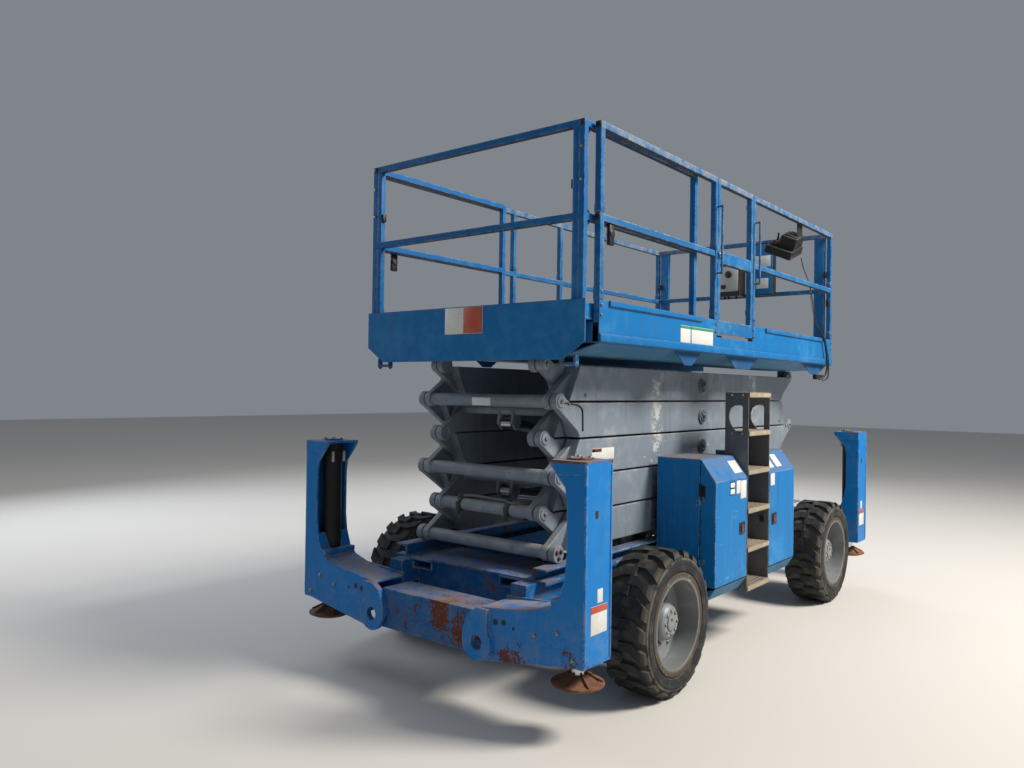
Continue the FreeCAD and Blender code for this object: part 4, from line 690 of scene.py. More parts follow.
class Batch:
    """Several small solids joined into one mesh with one finish, riding on one CAD body."""

    def __init__(self, name: str, body: str, choice: Palette) -> None:
        """Start an empty batch.

        Args:
            name: Name of the piece.
            body: CAD body that it rides on.
            choice: Its finish.
        """
        self.name = name
        self.body = body
        self.choice = choice
        self.mesh = bmesh.new()

    def take(self, solid: bmesh.types.BMesh) -> None:
        """Add a finished small solid and free it.

        Args:
            solid: The solid, in the frame's metres.
        """
        bmesh.ops.recalc_face_normals(solid, faces=solid.faces[:])
        kept = bpy.data.meshes.new("part")
        solid.to_mesh(kept)
        solid.free()
        self.mesh.from_mesh(kept)
        bpy.data.meshes.remove(kept)

    def block(self, low: Sequence[float], high: Sequence[float], round_off: float = 0.002,
              turn: Matrix | None = None) -> None:
        """Add a box with rounded edges.

        Args:
            low: Lowest corner.
            high: Highest corner.
            round_off: Width of the rounding.
            turn: Turn about the box's centre.
        """
        size = [abs(b - a) for a, b in zip(low, high)]
        middle = Vector([(a + b) / 2 for a, b in zip(low, high)])
        solid = bmesh.new()
        bmesh.ops.create_cube(solid, size=1.0)
        bmesh.ops.scale(solid, vec=size, verts=solid.verts[:])
        reach = min(round_off, 0.4 * min(size))
        bmesh.ops.bevel(solid, geom=solid.edges[:], offset=reach, segments=2, profile=0.5, material=-1,
                        affect="EDGES", clamp_overlap=True)
        bmesh.ops.transform(solid, matrix=Matrix.Translation(middle) @ (turn or Matrix.Identity(4)),
                            verts=solid.verts[:])
        self.take(solid)

    def block_out(self, side: int, low: Sequence[float], high: Sequence[float],
                  round_off: float = 0.002) -> None:
        """Add a box whose Y counts outward from the middle plane.

        Args:
            side: 1 on the left, -1 on the right.
            low: Corner nearest to the middle plane.
            high: Opposite corner.
            round_off: Width of the rounding.
        """
        near, far = span(side, low[1], high[1])
        self.block((low[0], near, low[2]), (high[0], far, high[2]), round_off)

    def stick(self, side: int, face: float, flat: Flat, lift: Sequence[float] = (-0.0005, 0.0015),
              round_off: float = 0.0008) -> None:
        """Stick a thin blank plate on a face that looks sideways.

        Args:
            side: 1 on the left, -1 on the right.
            face: Distance of the face from the middle plane.
            flat: Where the plate lies on it.
            lift: Back and front of the plate, from the face.
            round_off: Width of the rounding.
        """
        self.block_out(side, (flat.start, face + lift[0], flat.bottom), (flat.end, face + lift[1], flat.top),
                       round_off)

    def disc_out(self, side: int, at: Sequence[float], radius: float, reach: Sequence[float], sides: int,
                 round_off: float = 0.0015) -> None:
        """Add a disc or stud along Y that counts outward from the middle plane.

        Args:
            side: 1 on the left, -1 on the right.
            at: X and Z of its axis.
            radius: Radius to the corners.
            reach: Start and end, outward.
            sides: Number of sides.
            round_off: Rounding of its end edges.
        """
        low, high = span(side, *reach)
        self.round((at[0], 0.0, at[1]), Axis.Y, radius, low, high, sides, round_off)

    def round(self, centre: Sequence[float], axis: Axis, radius: float, low: float, high: float,
              sides: int = 20, round_off: float = 0.0015, taper: float = 1.0) -> None:
        """Add a round or many-sided bar along an axis.

        Args:
            centre: Point on the axis; its coordinate along the axis is added to low and high.
            axis: Direction of the bar.
            radius: Radius to the corners.
            low: Start along the axis.
            high: End along the axis.
            sides: Number of sides.
            round_off: Rounding of its end edges.
            taper: Far radius as a share of the near one.
        """
        solid = bmesh.new()
        depth = abs(high - low)
        bmesh.ops.create_cone(solid, cap_ends=True, segments=sides, radius1=radius, radius2=radius * taper,
                              depth=depth)
        rims = [edge for edge in solid.edges if abs(edge.verts[0].co.z - edge.verts[1].co.z) < 1e-6]
        if round_off:
            bmesh.ops.bevel(solid, geom=rims, offset=min(round_off, 0.4 * depth, 0.3 * radius), segments=2,
                            profile=0.5, material=-1, affect="EDGES", clamp_overlap=True)
        turn = Vector((0, 0, 1)).rotation_difference(axis.value).to_matrix().to_4x4()
        middle = Vector(centre) + axis.value * ((low + high) / 2)
        bmesh.ops.transform(solid, matrix=Matrix.Translation(middle) @ turn, verts=solid.verts[:])
        self.take(solid)

    def bolt(self, at: Sequence[float], axis: Axis, side: int, size: float = 0.008) -> None:
        """Add a hexagon head on its washer.

        Args:
            at: Point on the surface.
            axis: Direction of the bolt.
            side: 1 where the head stands towards the axis, -1 for the other way.
            size: Half of the head's width.
        """
        for radius, near, far, sides in ((1.5, 0.0, 0.28, 20), (1.12, 0.2, 1.0, 6)):
            low, high = span(side, size * near, size * far)
            self.round(at, axis, size * radius, low, high, sides, round_off=size * 0.12)

    def plate(self, corners: Sequence[Sequence[float]], thickness: Sequence[float]) -> None:
        """Add a flat plate of any outline.

        Args:
            corners: Corners of one face, in order.
            thickness: Vector from that face to the other one.
        """
        solid = bmesh.new()
        face = solid.faces.new([solid.verts.new(corner) for corner in corners])
        grown = bmesh.ops.extrude_face_region(solid, geom=[face])
        moved = [part for part in grown["geom"] if isinstance(part, bmesh.types.BMVert)]
        bmesh.ops.translate(solid, vec=thickness, verts=moved)
        self.take(solid)

    def tube(self, points: Sequence[Sequence[float]], radius: float, sides: int = 10) -> None:
        """Add a bent rod or hose that follows smoothed points.

        Args:
            points: Corners of its line.
            radius: Its radius.
            sides: Sides of its section.
        """
        line = bpy.data.curves.new("line", "CURVE")
        line.dimensions = "3D"
        line.bevel_depth = radius
        line.bevel_resolution = max(1, sides // 4)
        line.use_fill_caps = True
        spline = line.splines.new("NURBS")
        spline.points.add(len(points) - 1)
        for point, at in zip(spline.points, points):
            point.co = (*at, 1.0)
        spline.order_u = 3
        spline.use_endpoint_u = True
        spline.resolution_u = 8
        carrier = bpy.data.objects.new("line", line)
        bpy.context.scene.collection.objects.link(carrier)
        bpy.context.view_layer.update()
        shape = bpy.data.meshes.new_from_object(carrier.evaluated_get(bpy.context.evaluated_depsgraph_get()))
        self.mesh.from_mesh(shape)
        bpy.data.objects.remove(carrier)
        bpy.data.curves.remove(line)
        bpy.data.meshes.remove(shape)

    def done(self) -> bpy.types.Object:
        """Turn the batch into an object with its finish, riding on its body.

        Returns:
            The new object.
        """
        data = bpy.data.meshes.new(self.name)
        self.mesh.to_mesh(data)
        self.mesh.free()
        obj = bpy.data.objects.new(self.name, data)
        bpy.context.scene.collection.objects.link(obj)
        data.materials.append(PAINTS.get(self.choice))
        data.shade_smooth()
        data.set_sharp_from_angle(angle=math.radians(35))
        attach(obj, self.body)
        return obj


# Carried-over CAD nodes
class NodePainter:
    """Gives every CAD node its finishes, face by face where a node has more than one."""

    def __init__(self, nodes: dict[str, bpy.types.Object]) -> None:
        """Keep the frame's nodes.

        Args:
            nodes: CAD nodes by name.
        """
        self.nodes = nodes

    def coat(self, name: str, choice: Palette, parts: Sequence[tuple[Palette, Callable]] = ()) -> None:
        """Paint one node.

        Args:
            name: The node.
            choice: Its main finish.
            parts: Other finishes, each with a test of a face's centre and normal.
        """
        data = self.nodes[name].data
        data.materials.clear()
        data.materials.append(PAINTS.get(choice))
        for other, _ in parts:
            data.materials.append(PAINTS.get(other))
        if not parts:
            return
        for face in data.polygons:
            face.material_index = 0
            for index, (_, test) in enumerate(parts, start=1):
                if test(face.center, face.normal):
                    face.material_index = index
                    break

    def paint_all(self) -> None:
        """Paint every node of the machine."""
        for name, node in self.nodes.items():
            if name.startswith("tyre_"):
                node.data.materials.clear()
                node.data.materials.append(PAINTS.tyre())
            elif name.startswith("rim_"):
                self.coat(name, Palette.RIM, [(Palette.BLACK, self._planetary_hub)])
            elif name.startswith("foot_"):
                self.coat(name, Palette.RUST, [(Palette.CHROME, lambda at, normal: at.z > 0.35)])
            elif "_arms_" in name:
                self.coat(name, Palette.GREY)
            elif name == "ladder":
                self.coat(name, Palette.DARK_GREY, [(Palette.TREAD, self._tread)])
            elif name == "platform_deck":
                # Brackets below the deck's side take a darker blue as painted shade under the lip
                self.coat(name, Palette.BLUE, [(Palette.FLOOR, self._deck_floor), (Palette.UNDER,
                                                                                   self._underframe),
                                               (Palette.SHADED_BRACKET_BLUE, self._bracket_in_painted_shade)])
            elif name == "extension_deck":
                self.coat(name, Palette.BLUE, [(Palette.FLOOR, self._deck_floor)])
            elif name in ("platform_rails", "platform_gate"):
                self.coat(name, Palette.RAIL_BLUE)
            elif name == "extension_rails":
                self.coat(name, Palette.END_RAIL_BLUE)
            elif name.startswith(("cabinet_", "door_")):
                self.coat(name, Palette.CABINET_BLUE, [(Palette.UNDER, lambda at, normal: at.z < 0.5)])
            elif name.startswith("outrigger_"):
                self.coat(name, Palette.OUTRIGGER_BLUE)
            elif name in ("chassis_frame", "front_cross_beam", "rear_cross_beam"):
                self.coat(name, Palette.DEEP_BLUE)
            elif name in ("lower_lift_rod", "upper_lift_rod"):
                self.coat(name, Palette.CHROME)
            elif name in ("control_box", "rail_boxes"):
                self.coat(name, Palette.PLASTIC)
            else:
                self.coat(name, Palette.BLACK)

    @staticmethod
    def _planetary_hub(at: Vector, normal: Vector) -> bool:
        """Whether a rim's face is on its inner side, which stays dark."""
        return abs(at.y) < SIZES.tyre_outer - SIZES.tyre_width / 2 - 0.01

    @staticmethod
    def _tread(at: Vector, normal: Vector) -> bool:
        """Whether a ladder face belongs to a tread.

        Args:
            at: Centre of the face.
            normal: Its normal; not used.

        Returns:
            True on a tread.
        """
        if at.y < SIZES.ladder_in + 0.01:
            return False
        below = (SIZES.ladder_top - at.z) % SIZES.tread_pitch
        inside = abs(at.x - SIZES.ladder_mid) < SIZES.ladder_half - 0.009
        return inside and below < 0.036 or at.y > SIZES.cabinet_out + 0.001

    @staticmethod
    def _deck_floor(at: Vector, normal: Vector) -> bool:
        """Whether a face is the top of a floor."""
        return normal.z > 0.9 and SIZES.deck_floor - 0.01 < at.z < SIZES.deck_floor + 0.04 and abs(at.y) < 0.9

    @staticmethod
    def _underframe(at: Vector, normal: Vector) -> bool:
        """Whether a face is on the frame below the deck."""
        return at.z < 2.075 and abs(at.y) < 0.885 and not (abs(at.y) > 0.879 and abs(normal.y) > 0.9)

    @staticmethod
    def _bracket_in_painted_shade(at: Vector, normal: Vector) -> bool:
        """Whether a face is on a bracket below the deck's side, which takes the blue darkened as painted shade.
        """
        return at.z < 2.06


# Fittings
@dataclass(frozen=True)
class WheelFittings:
    """Nuts, hub cover and tyre valve of one wheel, in metres from its axle."""

    corner: str
    end: int
    side: int
    nuts: int = 10
    nut_circle: float = 0.140
    nut_half: float = 0.0135
    stud_radius: float = 0.008
    stud_reach: float = 0.026
    cover_bolts: int = 8
    cover_circle: float = 0.068
    cover_bolt_half: float = 0.0075
    cap_radius: float = 0.050
    cap_rise: float = 0.006
    plug_radius: float = 0.011
    plug_up: float = 0.024
    plug_rise: tuple[float, float] = (0.004, 0.014)
    drum_circle: float = 0.205
    drum_angles: tuple[float, float] = (0.9, 0.9 + math.pi)
    drum_bolt_half: float = 0.009
    valve_up: float = 0.236
    valve_radius: float = 0.007
    valve_reach: float = 0.045

    def _point(self, circle: float, angle: float, face: float) -> Vector:
        """Find a point on a circle round the axle.

        Args:
            circle: Radius of the circle.
            angle: Turn from the front, in radians.
            face: Distance of the wheel's face from the middle plane.

        Returns:
            The point.
        """
        return Vector((self.end * SIZES.axle_half + circle * math.cos(angle), self.side * face,
                       SIZES.hub_height + circle * math.sin(angle)))

    def build(self) -> list[bpy.types.Object]:
        """Make the wheel's fittings.

        Returns:
            The new objects.
        """
        body = f"wheel_{self.corner}"
        x, z = self.end * SIZES.axle_half, SIZES.hub_height
        disc, face = SIZES.disc_face, SIZES.hub_face
        nuts = Batch(f"wheel_nuts_{self.corner}", body, Palette.BOLT)
        for index in range(self.nuts):
            at = self._point(self.nut_circle, math.tau * (index + 0.5) / self.nuts, disc)
            nuts.bolt(at, Axis.Y, self.side, self.nut_half)
            nuts.disc_out(self.side, (at.x, at.z), self.stud_radius, (disc, disc + self.stud_reach), 12,
                          0.001)
        cover = Batch(f"hub_cover_{self.corner}", body, Palette.RIM)
        cover.disc_out(self.side, (x, z), self.cap_radius, (face, face + self.cap_rise), 40, 0.002)
        low, high = self.plug_rise
        cover.disc_out(self.side, (x, z + self.plug_up), self.plug_radius, (face + low, face + high), 6,
                       0.001)
        for index in range(self.cover_bolts):
            at = self._point(self.cover_circle, math.tau * index / self.cover_bolts, face)
            nuts.bolt(at, Axis.Y, self.side, self.cover_bolt_half)
        for angle in self.drum_angles:
            nuts.bolt(self._point(self.drum_circle, angle, disc), Axis.Y, self.side, self.drum_bolt_half)
        valve = Batch(f"tyre_valve_{self.corner}", body, Palette.PLASTIC)
        valve.disc_out(self.side, (x, z + self.valve_up), self.valve_radius, (disc, disc + self.valve_reach),
                       12, 0.001)
        return [nuts.done(), cover.done(), valve.done()]


@dataclass(frozen=True)
class ScissorFittings:
    """Centre hubs, pin flanges, caps, strapped hoses and wire of the arms.

    A reach is a start and an end, counted outward from an arm's outer face.
    """

    hub_radius: float = 0.046
    hub_reach: tuple[float, float] = (0.013, 0.020)
    hub_bolt_half: float = 0.014
    hub_screws: int = 3
    hub_circle: float = 0.031
    hub_screw_half: float = 0.006
    flange_radius: float = 0.036
    flange_reach: tuple[float, float] = (-0.001, 0.006)
    flange_bolt_half: float = 0.009
    arm_bolt_half: float = 0.008
    end_bolt: tuple[float, float] = (0.085, -0.012)
    pad_bolt: tuple[float, float] = (0.26, 0.04)
    cap_radius: float = 0.037
    cap_reach: tuple[float, float] = (-0.001, 0.007)
    cap_bolt_half: float = 0.010
    strapped: tuple[float, float] = (-0.205, 0.195)
    strap_radius: float = 0.0455
    strap_half: float = 0.021
    hose_radius: float = 0.009
    short_hose_radius: float = 0.008
    wire_radius: float = 0.004
    wire_out: float = 0.004
    low_pin_circle: float = 0.024
    low_pin_angles: tuple[float, float, float] = (0.5, 2.6, 4.7)
    low_pin_bolt_half: float = 0.010

    def build(self) -> list[bpy.types.Object]:
        """Make the fittings of every level.

        Returns:
            The new objects.
        """
        made = []
        for level in range(1, SIZES.levels + 1):
            made += self._outer(level) + self._inner(level)
        return made + self._strapped_hoses() + self._small_parts()

    def _outer(self, level: int) -> list[bpy.types.Object]:
        """Fit hubs, flanges and bolts to the outer arms of one level; the hubs are painted dark grey as painted
        shade.

        Args:
            level: Level, from 1 at the bottom.

        Returns:
            The new objects.
        """
        low = SIZES.pivot_base + (level - 1) * SIZES.level_pitch
        centre, high = low + SIZES.level_pitch / 2, low + SIZES.level_pitch
        toward = -1 if level % 2 else 1
        x = toward * SIZES.pivot_reach
        out = SIZES.outer_arm_out
        flanges = Batch(f"pin_flanges_{level}", f"outer_{level}", Palette.GREY)
        bolts = Batch(f"pin_bolts_{level}", f"outer_{level}", Palette.BOLT)
        # The centre hubs take the ladder's dark grey paint as painted shade
        shaded_hubs = Batch(f"centre_hubs_in_painted_shade_{level}", f"outer_{level}", Palette.DARK_GREY)
        near, far = (out + reach for reach in self.hub_reach)
        start, end = (out + reach for reach in self.flange_reach)
        for side in (1, -1):
            shaded_hubs.disc_out(side, (0.0, centre), self.hub_radius, (near, far), 40)
            bolts.bolt((0, side * far, centre), Axis.Y, side, self.hub_bolt_half)
            for step in range(self.hub_screws):
                angle = math.tau * step / self.hub_screws + 0.5
                bolts.bolt((self.hub_circle * math.cos(angle), side * far,
                            centre + self.hub_circle * math.sin(angle)), Axis.Y, side, self.hub_screw_half)
            flanges.disc_out(side, (x, high), self.flange_radius, (start, end), 32)
            bolts.bolt((x, side * end, high), Axis.Y, side, self.flange_bolt_half)
            back, up = self.end_bolt
            bolts.bolt((x - toward * back, side * out, high + up), Axis.Y, side, self.arm_bolt_half)
            back, up = self.pad_bolt
            bolts.bolt((-toward * (SIZES.pivot_reach - back), side * out, low + up), Axis.Y, side,
                       self.arm_bolt_half)
        return [flanges.done(), bolts.done(), shaded_hubs.done()]

    def _inner(self, level: int) -> list[bpy.types.Object]:
        """Fit pin caps and keeper bolts to the inner arms of one level.

        Args:
            level: Level, from 1 at the bottom.

        Returns:
            The new objects.
        """
        high = SIZES.pivot_base + level * SIZES.level_pitch
        x = SIZES.pivot_reach if level % 2 else -SIZES.pivot_reach
        caps = Batch(f"inner_pin_caps_{level}", f"inner_{level}", Palette.GREY)
        keepers = Batch(f"inner_pin_keepers_{level}", f"inner_{level}", Palette.BOLT)
        start, end = (SIZES.inner_arm_out + reach for reach in self.cap_reach)
        for side in (1, -1):
            caps.disc_out(side, (x, high), self.cap_radius, (start, end), 32)
            keepers.bolt((x, side * end, high), Axis.Y, side, self.cap_bolt_half)
        return [caps.done(), keepers.done()]

    def _strapped_hoses(self) -> list[bpy.types.Object]:
        """Strap the hoses to the front tube of the second level.

        Returns:
            The new objects.
        """
        x, z = SIZES.pivot_reach, SIZES.pivot_base + SIZES.level_pitch
        half = self.strap_half
        straps = Batch("hose_straps", "inner_2", Palette.PLASTIC)
        for y in self.strapped:
            straps.round((x, y, z), Axis.Y, self.strap_radius, -half, half, 36, 0.002)
            straps.block((x - 0.006, y - half, z + 0.043), (x + 0.018, y + half, z + 0.062), 0.003)
            straps.block((x + 0.040, y - 0.015, z - 0.066), (x + 0.046, y + 0.018, z - 0.008), 0.002)
        hoses = Batch("strapped_hoses", "inner_2", Palette.HOSE)
        hoses.tube([(x - 0.02, -0.25, z + 0.046), (x + 0.008, -0.20, z + 0.052), (x + 0.012, -0.12,
                                                                                  z + 0.062),
                    (x + 0.010, 0.02, z + 0.060), (x + 0.012, 0.14, z + 0.054), (x + 0.010, 0.20, z + 0.052),
                    (x - 0.02, 0.27, z + 0.050), (x - 0.06, 0.31, z + 0.045)], self.hose_radius)
        hoses.tube([(x - 0.03, 0.15, z + 0.047), (x + 0.02, 0.18, z + 0.048), (x + 0.022, 0.25, z + 0.044),
                    (x - 0.01, 0.31, z + 0.046), (x - 0.06, 0.33, z + 0.044)], self.short_hose_radius)
        return [straps.done(), hoses.done()]

    def _small_parts(self) -> list[bpy.types.Object]:
        """Add the blank plate of the top tube, the sensor wire and the rusty bolts of the lowest pins.

        Returns:
            The new objects.
        """
        x, base = SIZES.pivot_reach, SIZES.pivot_base
        top = base + 4 * SIZES.level_pitch
        plate = Batch("blank_plate_front_tube", "outer_5", Palette.SIGN)
        plate.block((x + 0.038, -0.096, top - 0.034), (x + 0.0425, 0.058, top + 0.016), 0.0008)
        out = SIZES.outer_arm_out + self.wire_out
        wire = Batch("sensor_wire", "outer_4", Palette.PLASTIC)
        wire.tube([(1.845, out, 1.722), (1.80, out, 1.722), (1.70, out, 1.712), (1.645, out, 1.69),
                   (1.64, out, 1.64), (1.638, out, 1.55)], self.wire_radius)
        rusty = Batch("low_front_pin_bolts", "outer_1", Palette.RUST)
        for side in (1, -1):
            for angle in self.low_pin_angles:
                rusty.bolt((x + self.low_pin_circle * math.cos(angle), side * (SIZES.outer_arm_out + 0.001),
                            base + self.low_pin_circle * math.sin(angle)), Axis.Y, side, self.low_pin_bolt_half)
        return [plate.done(), wire.done(), rusty.done()]


@dataclass(frozen=True)
class RailFittings:
    """Sleeves, plugs, second post tubes, clamps and wiring of the guard rails, and the gate's latch.

    Reaches across the machine count outward from its middle plane.
    """

    gate_posts: tuple[float, float] = (0.519, -0.149)
    foot_bolts: tuple[float, float] = (0.035, 0.09)
    foot_bolt_half: float = 0.008
    sleeve_bolt_half: float = 0.007
    sleeve_in: float = 0.041
    sleeve_out: float = 0.003
    sleeve_wrap: float = 0.004
    collar_wrap: float = 0.003
    roller_x: float = 1.865
    roller_z: float = 2.69
    roller_radius: float = 0.022
    lip: tuple[float, float] = (0.9195, 0.9315)
    lip_heights: tuple[float, float] = (2.070, 2.118)
    rear_pair: tuple[float, float] = (0.764, 0.862)
    front_pair: float = 0.787
    gusset_leg: float = 0.055
    gusset_half: float = 0.003
    bracket_plates: tuple[tuple[float, float], ...] = ((0.70, 0.715), (0.80, 0.815))
    bracket_pin: tuple[float, float] = (2.06, 1.948)
    end_bolts: tuple[float, ...] = (-0.80, -0.27, 0.27, 0.80)
    cable_radius: float = 0.005
    coil_turns: int = 15
    coil_steps: int = 8
    coil_wide: float = 0.013
    coil_deep: float = 0.010
    coil_wire: float = 0.0035
    rear_cable_radii: tuple[float, float] = (0.008, 0.006)

    def build(self) -> list[bpy.types.Object]:
        """Make the fittings of all rails.

        Returns:
            The new objects.
        """
        return self._posts() + self._deck_sides() + self._wiring() + self._sliding_end() + self._gate()

    def _posts(self) -> list[bpy.types.Object]:
        """Fit sleeves, feet bolts, end plugs and rollers to the main rails.

        Returns:
            The new objects.
        """
        bolts = Batch("rail_bolts", "platform", Palette.BOLT)
        plugs = Batch("rail_end_plugs", "platform", Palette.PLASTIC)
        sleeves = Batch("rail_sleeves", "platform", Palette.RAIL_BLUE)
        half = SIZES.rail_tube / 2
        y, front, toe, mid, top = (SIZES.deck_half, SIZES.deck_front, SIZES.toe_top, SIZES.rail_mid,
                                   SIZES.rail_top)
        inner, outer = y - self.sleeve_in, y + self.sleeve_out
        wide, narrow = half + self.sleeve_wrap, half + self.collar_wrap
        for side in (1, -1):
            for x in (front - half, *self.gate_posts, half - SIZES.deck_rear):
                for up in self.foot_bolts:
                    bolts.bolt((x, side * y, SIZES.deck_floor + up), Axis.Y, side, self.foot_bolt_half)
                sleeves.block_out(side, (x - wide, inner, toe + 0.001), (x + wide, outer, toe + 0.075))
                bolts.bolt((x, side * outer, toe + 0.045), Axis.Y, side, self.sleeve_bolt_half)
                sleeves.block_out(side, (x - narrow, inner, mid + 0.03), (x + narrow, outer, mid + 0.075))
            plugs.block_out(side, (front - 0.002, y - 0.036, top - 0.036), (front + 0.006, y - 0.002,
                                                                            top - 0.002))
            plugs.block_out(side, (front - 0.002, y - 0.036, mid - 0.017), (front + 0.006, y - 0.002,
                                                                            mid + 0.017))
            x = self.roller_x
            plugs.block_out(side, (x - 0.027, y - 0.034, 2.625), (x + 0.027, y - 0.008, mid - half + 0.001),
                            0.008)
            plugs.disc_out(side, (x, self.roller_z), self.roller_radius, (y - 0.038, y - 0.004), 24)
        return [bolts.done(), plugs.done(), sleeves.done()]

    def _deck_sides(self) -> list[bpy.types.Object]:
        """Add the lips along the deck, the rear corners' second tubes and their clamps.

        Returns:
            The new objects.
        """
        lips = Batch("deck_side_lips", "platform", Palette.BLUE)
        posts = Batch("rear_post_pairs", "platform", Palette.RAIL_BLUE)
        clamps = Batch("rail_clamps", "platform", Palette.PLASTIC)
        rear, mid = -SIZES.deck_rear, SIZES.rail_mid
        face = rear + 0.036
        for side in (1, -1):
            lips.block_out(side, (rear + 0.001, self.lip[0], self.lip_heights[0]),
                           (SIZES.deck_front - 0.001, self.lip[1], self.lip_heights[1]), 0.004)
            posts.block_out(side, (rear + 0.002, self.rear_pair[0], SIZES.toe_top - 0.02),
                            (face, self.rear_pair[1], SIZES.rail_top - 0.037), 0.003)
            clamps.block_out(side, (face, 0.856, mid + 0.12), (face + 0.030, 0.884, mid + 0.18), 0.005)
            clamps.block_out(side, (face, 0.884, mid - 0.150), (face + 0.028, 0.916, mid - 0.085), 0.005)
        return [lips.done(), posts.done(), clamps.done()]

    def _wiring(self) -> list[bpy.types.Object]:
        """Hang the fixed wiring from the control box to the deck's rear corner.

        Returns:
            The new objects.
        """
        line = Batch("control_cable", "platform", Palette.PLASTIC)
        line.tube([(-1.50, 0.80, 3.02), (-1.51, 0.81, 2.95), (-1.52, 0.85, 2.84), (-1.50, 0.885, 2.76),
                   (-1.475, 0.895, 2.70)], self.cable_radius)
        top, low = Vector((-1.475, 0.897, 2.70)), Vector((-1.60, 0.905, 2.42))
        coil = []
        for step in range(self.coil_turns * self.coil_steps + 1):
            angle = math.tau * step / self.coil_steps
            share = step / (self.coil_turns * self.coil_steps)
            coil.append(top.lerp(low, share)
                        + Vector((self.coil_wide * math.cos(angle), self.coil_deep * math.sin(angle), 0.0)))
        line.tube(coil, self.coil_wire, 6)
        wide, thin = self.rear_cable_radii
        line.tube([(-1.60, 0.905, 2.42), (-1.66, 0.925, 2.36), (-1.70, 0.945, 2.31), (-1.745, 0.947, 2.22),
                   (-1.785, 0.947, 2.12), (-1.80, 0.945, 2.03), (-1.77, 0.935, 1.95), (-1.72, 0.90,
                                                                                       1.93)], wide)
        line.tube([(-1.715, 0.947, 2.31), (-1.765, 0.951, 2.21), (-1.815, 0.951, 2.11), (-1.84, 0.945, 2.02),
                   (-1.85, 0.935, 1.93), (-1.80, 0.90, 1.92)], thin)
        line.block((-1.84, 0.86, 1.93), (-1.66, 0.90, 1.975), 0.006)
        return [line.done()]

    def _sliding_end(self) -> list[bpy.types.Object]:
        """Fit gussets, second tubes, plugs, bolts, brackets and the blank plate to the sliding end.

        Returns:
            The new objects.
        """
        gussets = Batch("extension_gussets", "extension", Palette.END_RAIL_BLUE)
        plugs = Batch("extension_plugs", "extension", Palette.PLASTIC)
        bolts = Batch("extension_bolts", "extension", Palette.BOLT)
        brackets = Batch("lashing_brackets", "extension", Palette.DEEP_BLUE)
        tube, half, line = SIZES.rail_tube, SIZES.rail_tube / 2, SIZES.ext_line
        top, mid = SIZES.rail_top, SIZES.rail_mid
        end = SIZES.ext_face - 0.010
        inner = end - tube + 0.001
        x, z = self.bracket_pin
        for side in (1, -1):
            y = side * line - self.gusset_half
            for corner, rise in ((top - tube, -1), (mid + half, 1), (mid - half, -1)):
                gussets.plate([(inner, y, corner), (inner - self.gusset_leg, y, corner),
                               (inner, y, corner + rise * self.gusset_leg)], (0, 2 * self.gusset_half, 0))
            for height in (top - 0.15, mid + 0.20, SIZES.deck_floor + 0.10):
                bolts.bolt((end, side * line, height), Axis.X, 1, 0.007)
            gussets.block_out(side, (end - tube, self.front_pair, SIZES.toe_top - 0.015),
                              (end - 0.001, line - half + 0.001, top - tube + 0.001), 0.003)
            plugs.block_out(side, (end - 0.003, line - 0.017, top - 0.036), (end + 0.004, line + 0.017,
                                                                             top - 0.003))
            plugs.block_out(side, (SIZES.ext_post - 0.015, line + half, top - 0.032),
                            (SIZES.ext_post + 0.015, line + half + 0.006, top - 0.006))
            plugs.block_out(side, (end - 0.036, 0.772, 2.925), (end - 0.006, 0.788, 2.975), 0.003)
            for near, far in self.bracket_plates:
                low, high = span(side, near, far)
                brackets.plate([(x - 0.015, low, z + 0.047), (x + 0.015, low, z + 0.047),
                                (x + 0.015, low, z - 0.008), (x, low, z - 0.023), (x - 0.015, low,
                                                                                   z - 0.008)],
                               (0, high - low, 0))
            near, far = self.bracket_plates[0][0] - 0.006, self.bracket_plates[1][1] + 0.006
            brackets.disc_out(side, (x, z), 0.009, (near, far), 16)
        for y in self.end_bolts:
            bolts.bolt((SIZES.ext_face - 0.008, y, 2.275), Axis.X, 1, 0.0075)
        face = SIZES.ext_face
        white = Batch("blank_plate_end", "extension", Palette.SIGN)
        white.block((face - 0.0005, -0.164, 2.137), (face + 0.0015, 0.148, 2.30), 0.0008)
        half_plate = Batch("blank_plate_end_band", "extension", Palette.ORANGE)
        half_plate.block((face + 0.001, -0.008, 2.139), (face + 0.0022, 0.146, 2.298), 0.0005)
        return [gussets.done(), plugs.done(), bolts.done(), brackets.done(), white.done(), half_plate.done()]

    def _gate(self) -> list[bpy.types.Object]:
        """Fit the latch and the panel's edge strips to the gate.

        Returns:
            The new objects.
        """
        y, mid = SIZES.deck_half, SIZES.rail_mid
        latch = Batch("gate_latch", "gate", Palette.BOLT)
        latch.block((0.425, y - 0.002, mid - 0.02), (0.486, y + 0.010, mid + 0.015), 0.003)
        latch.round((0.47, y, mid - 0.002), Axis.Y, 0.009, 0.0, 0.034, 16)
        latch.bolt((0.442, y + 0.010, mid - 0.002), Axis.Y, 1, 0.005)
        strips = Batch("gate_panel_frame", "gate", Palette.RAIL_BLUE)
        for x in (-0.070, 0.415):
            strips.block((x, y - 0.004, mid - 0.053), (x + 0.022, y + 0.003, mid + 0.028))
        return [latch.done(), strips.done()]


@dataclass(frozen=True)
class Door:
    """One cabinet door: its side, the end that it hinges at, and its latch and hinge along X."""

    name: str
    side: int
    away: int
    hinge: float
    latch: float


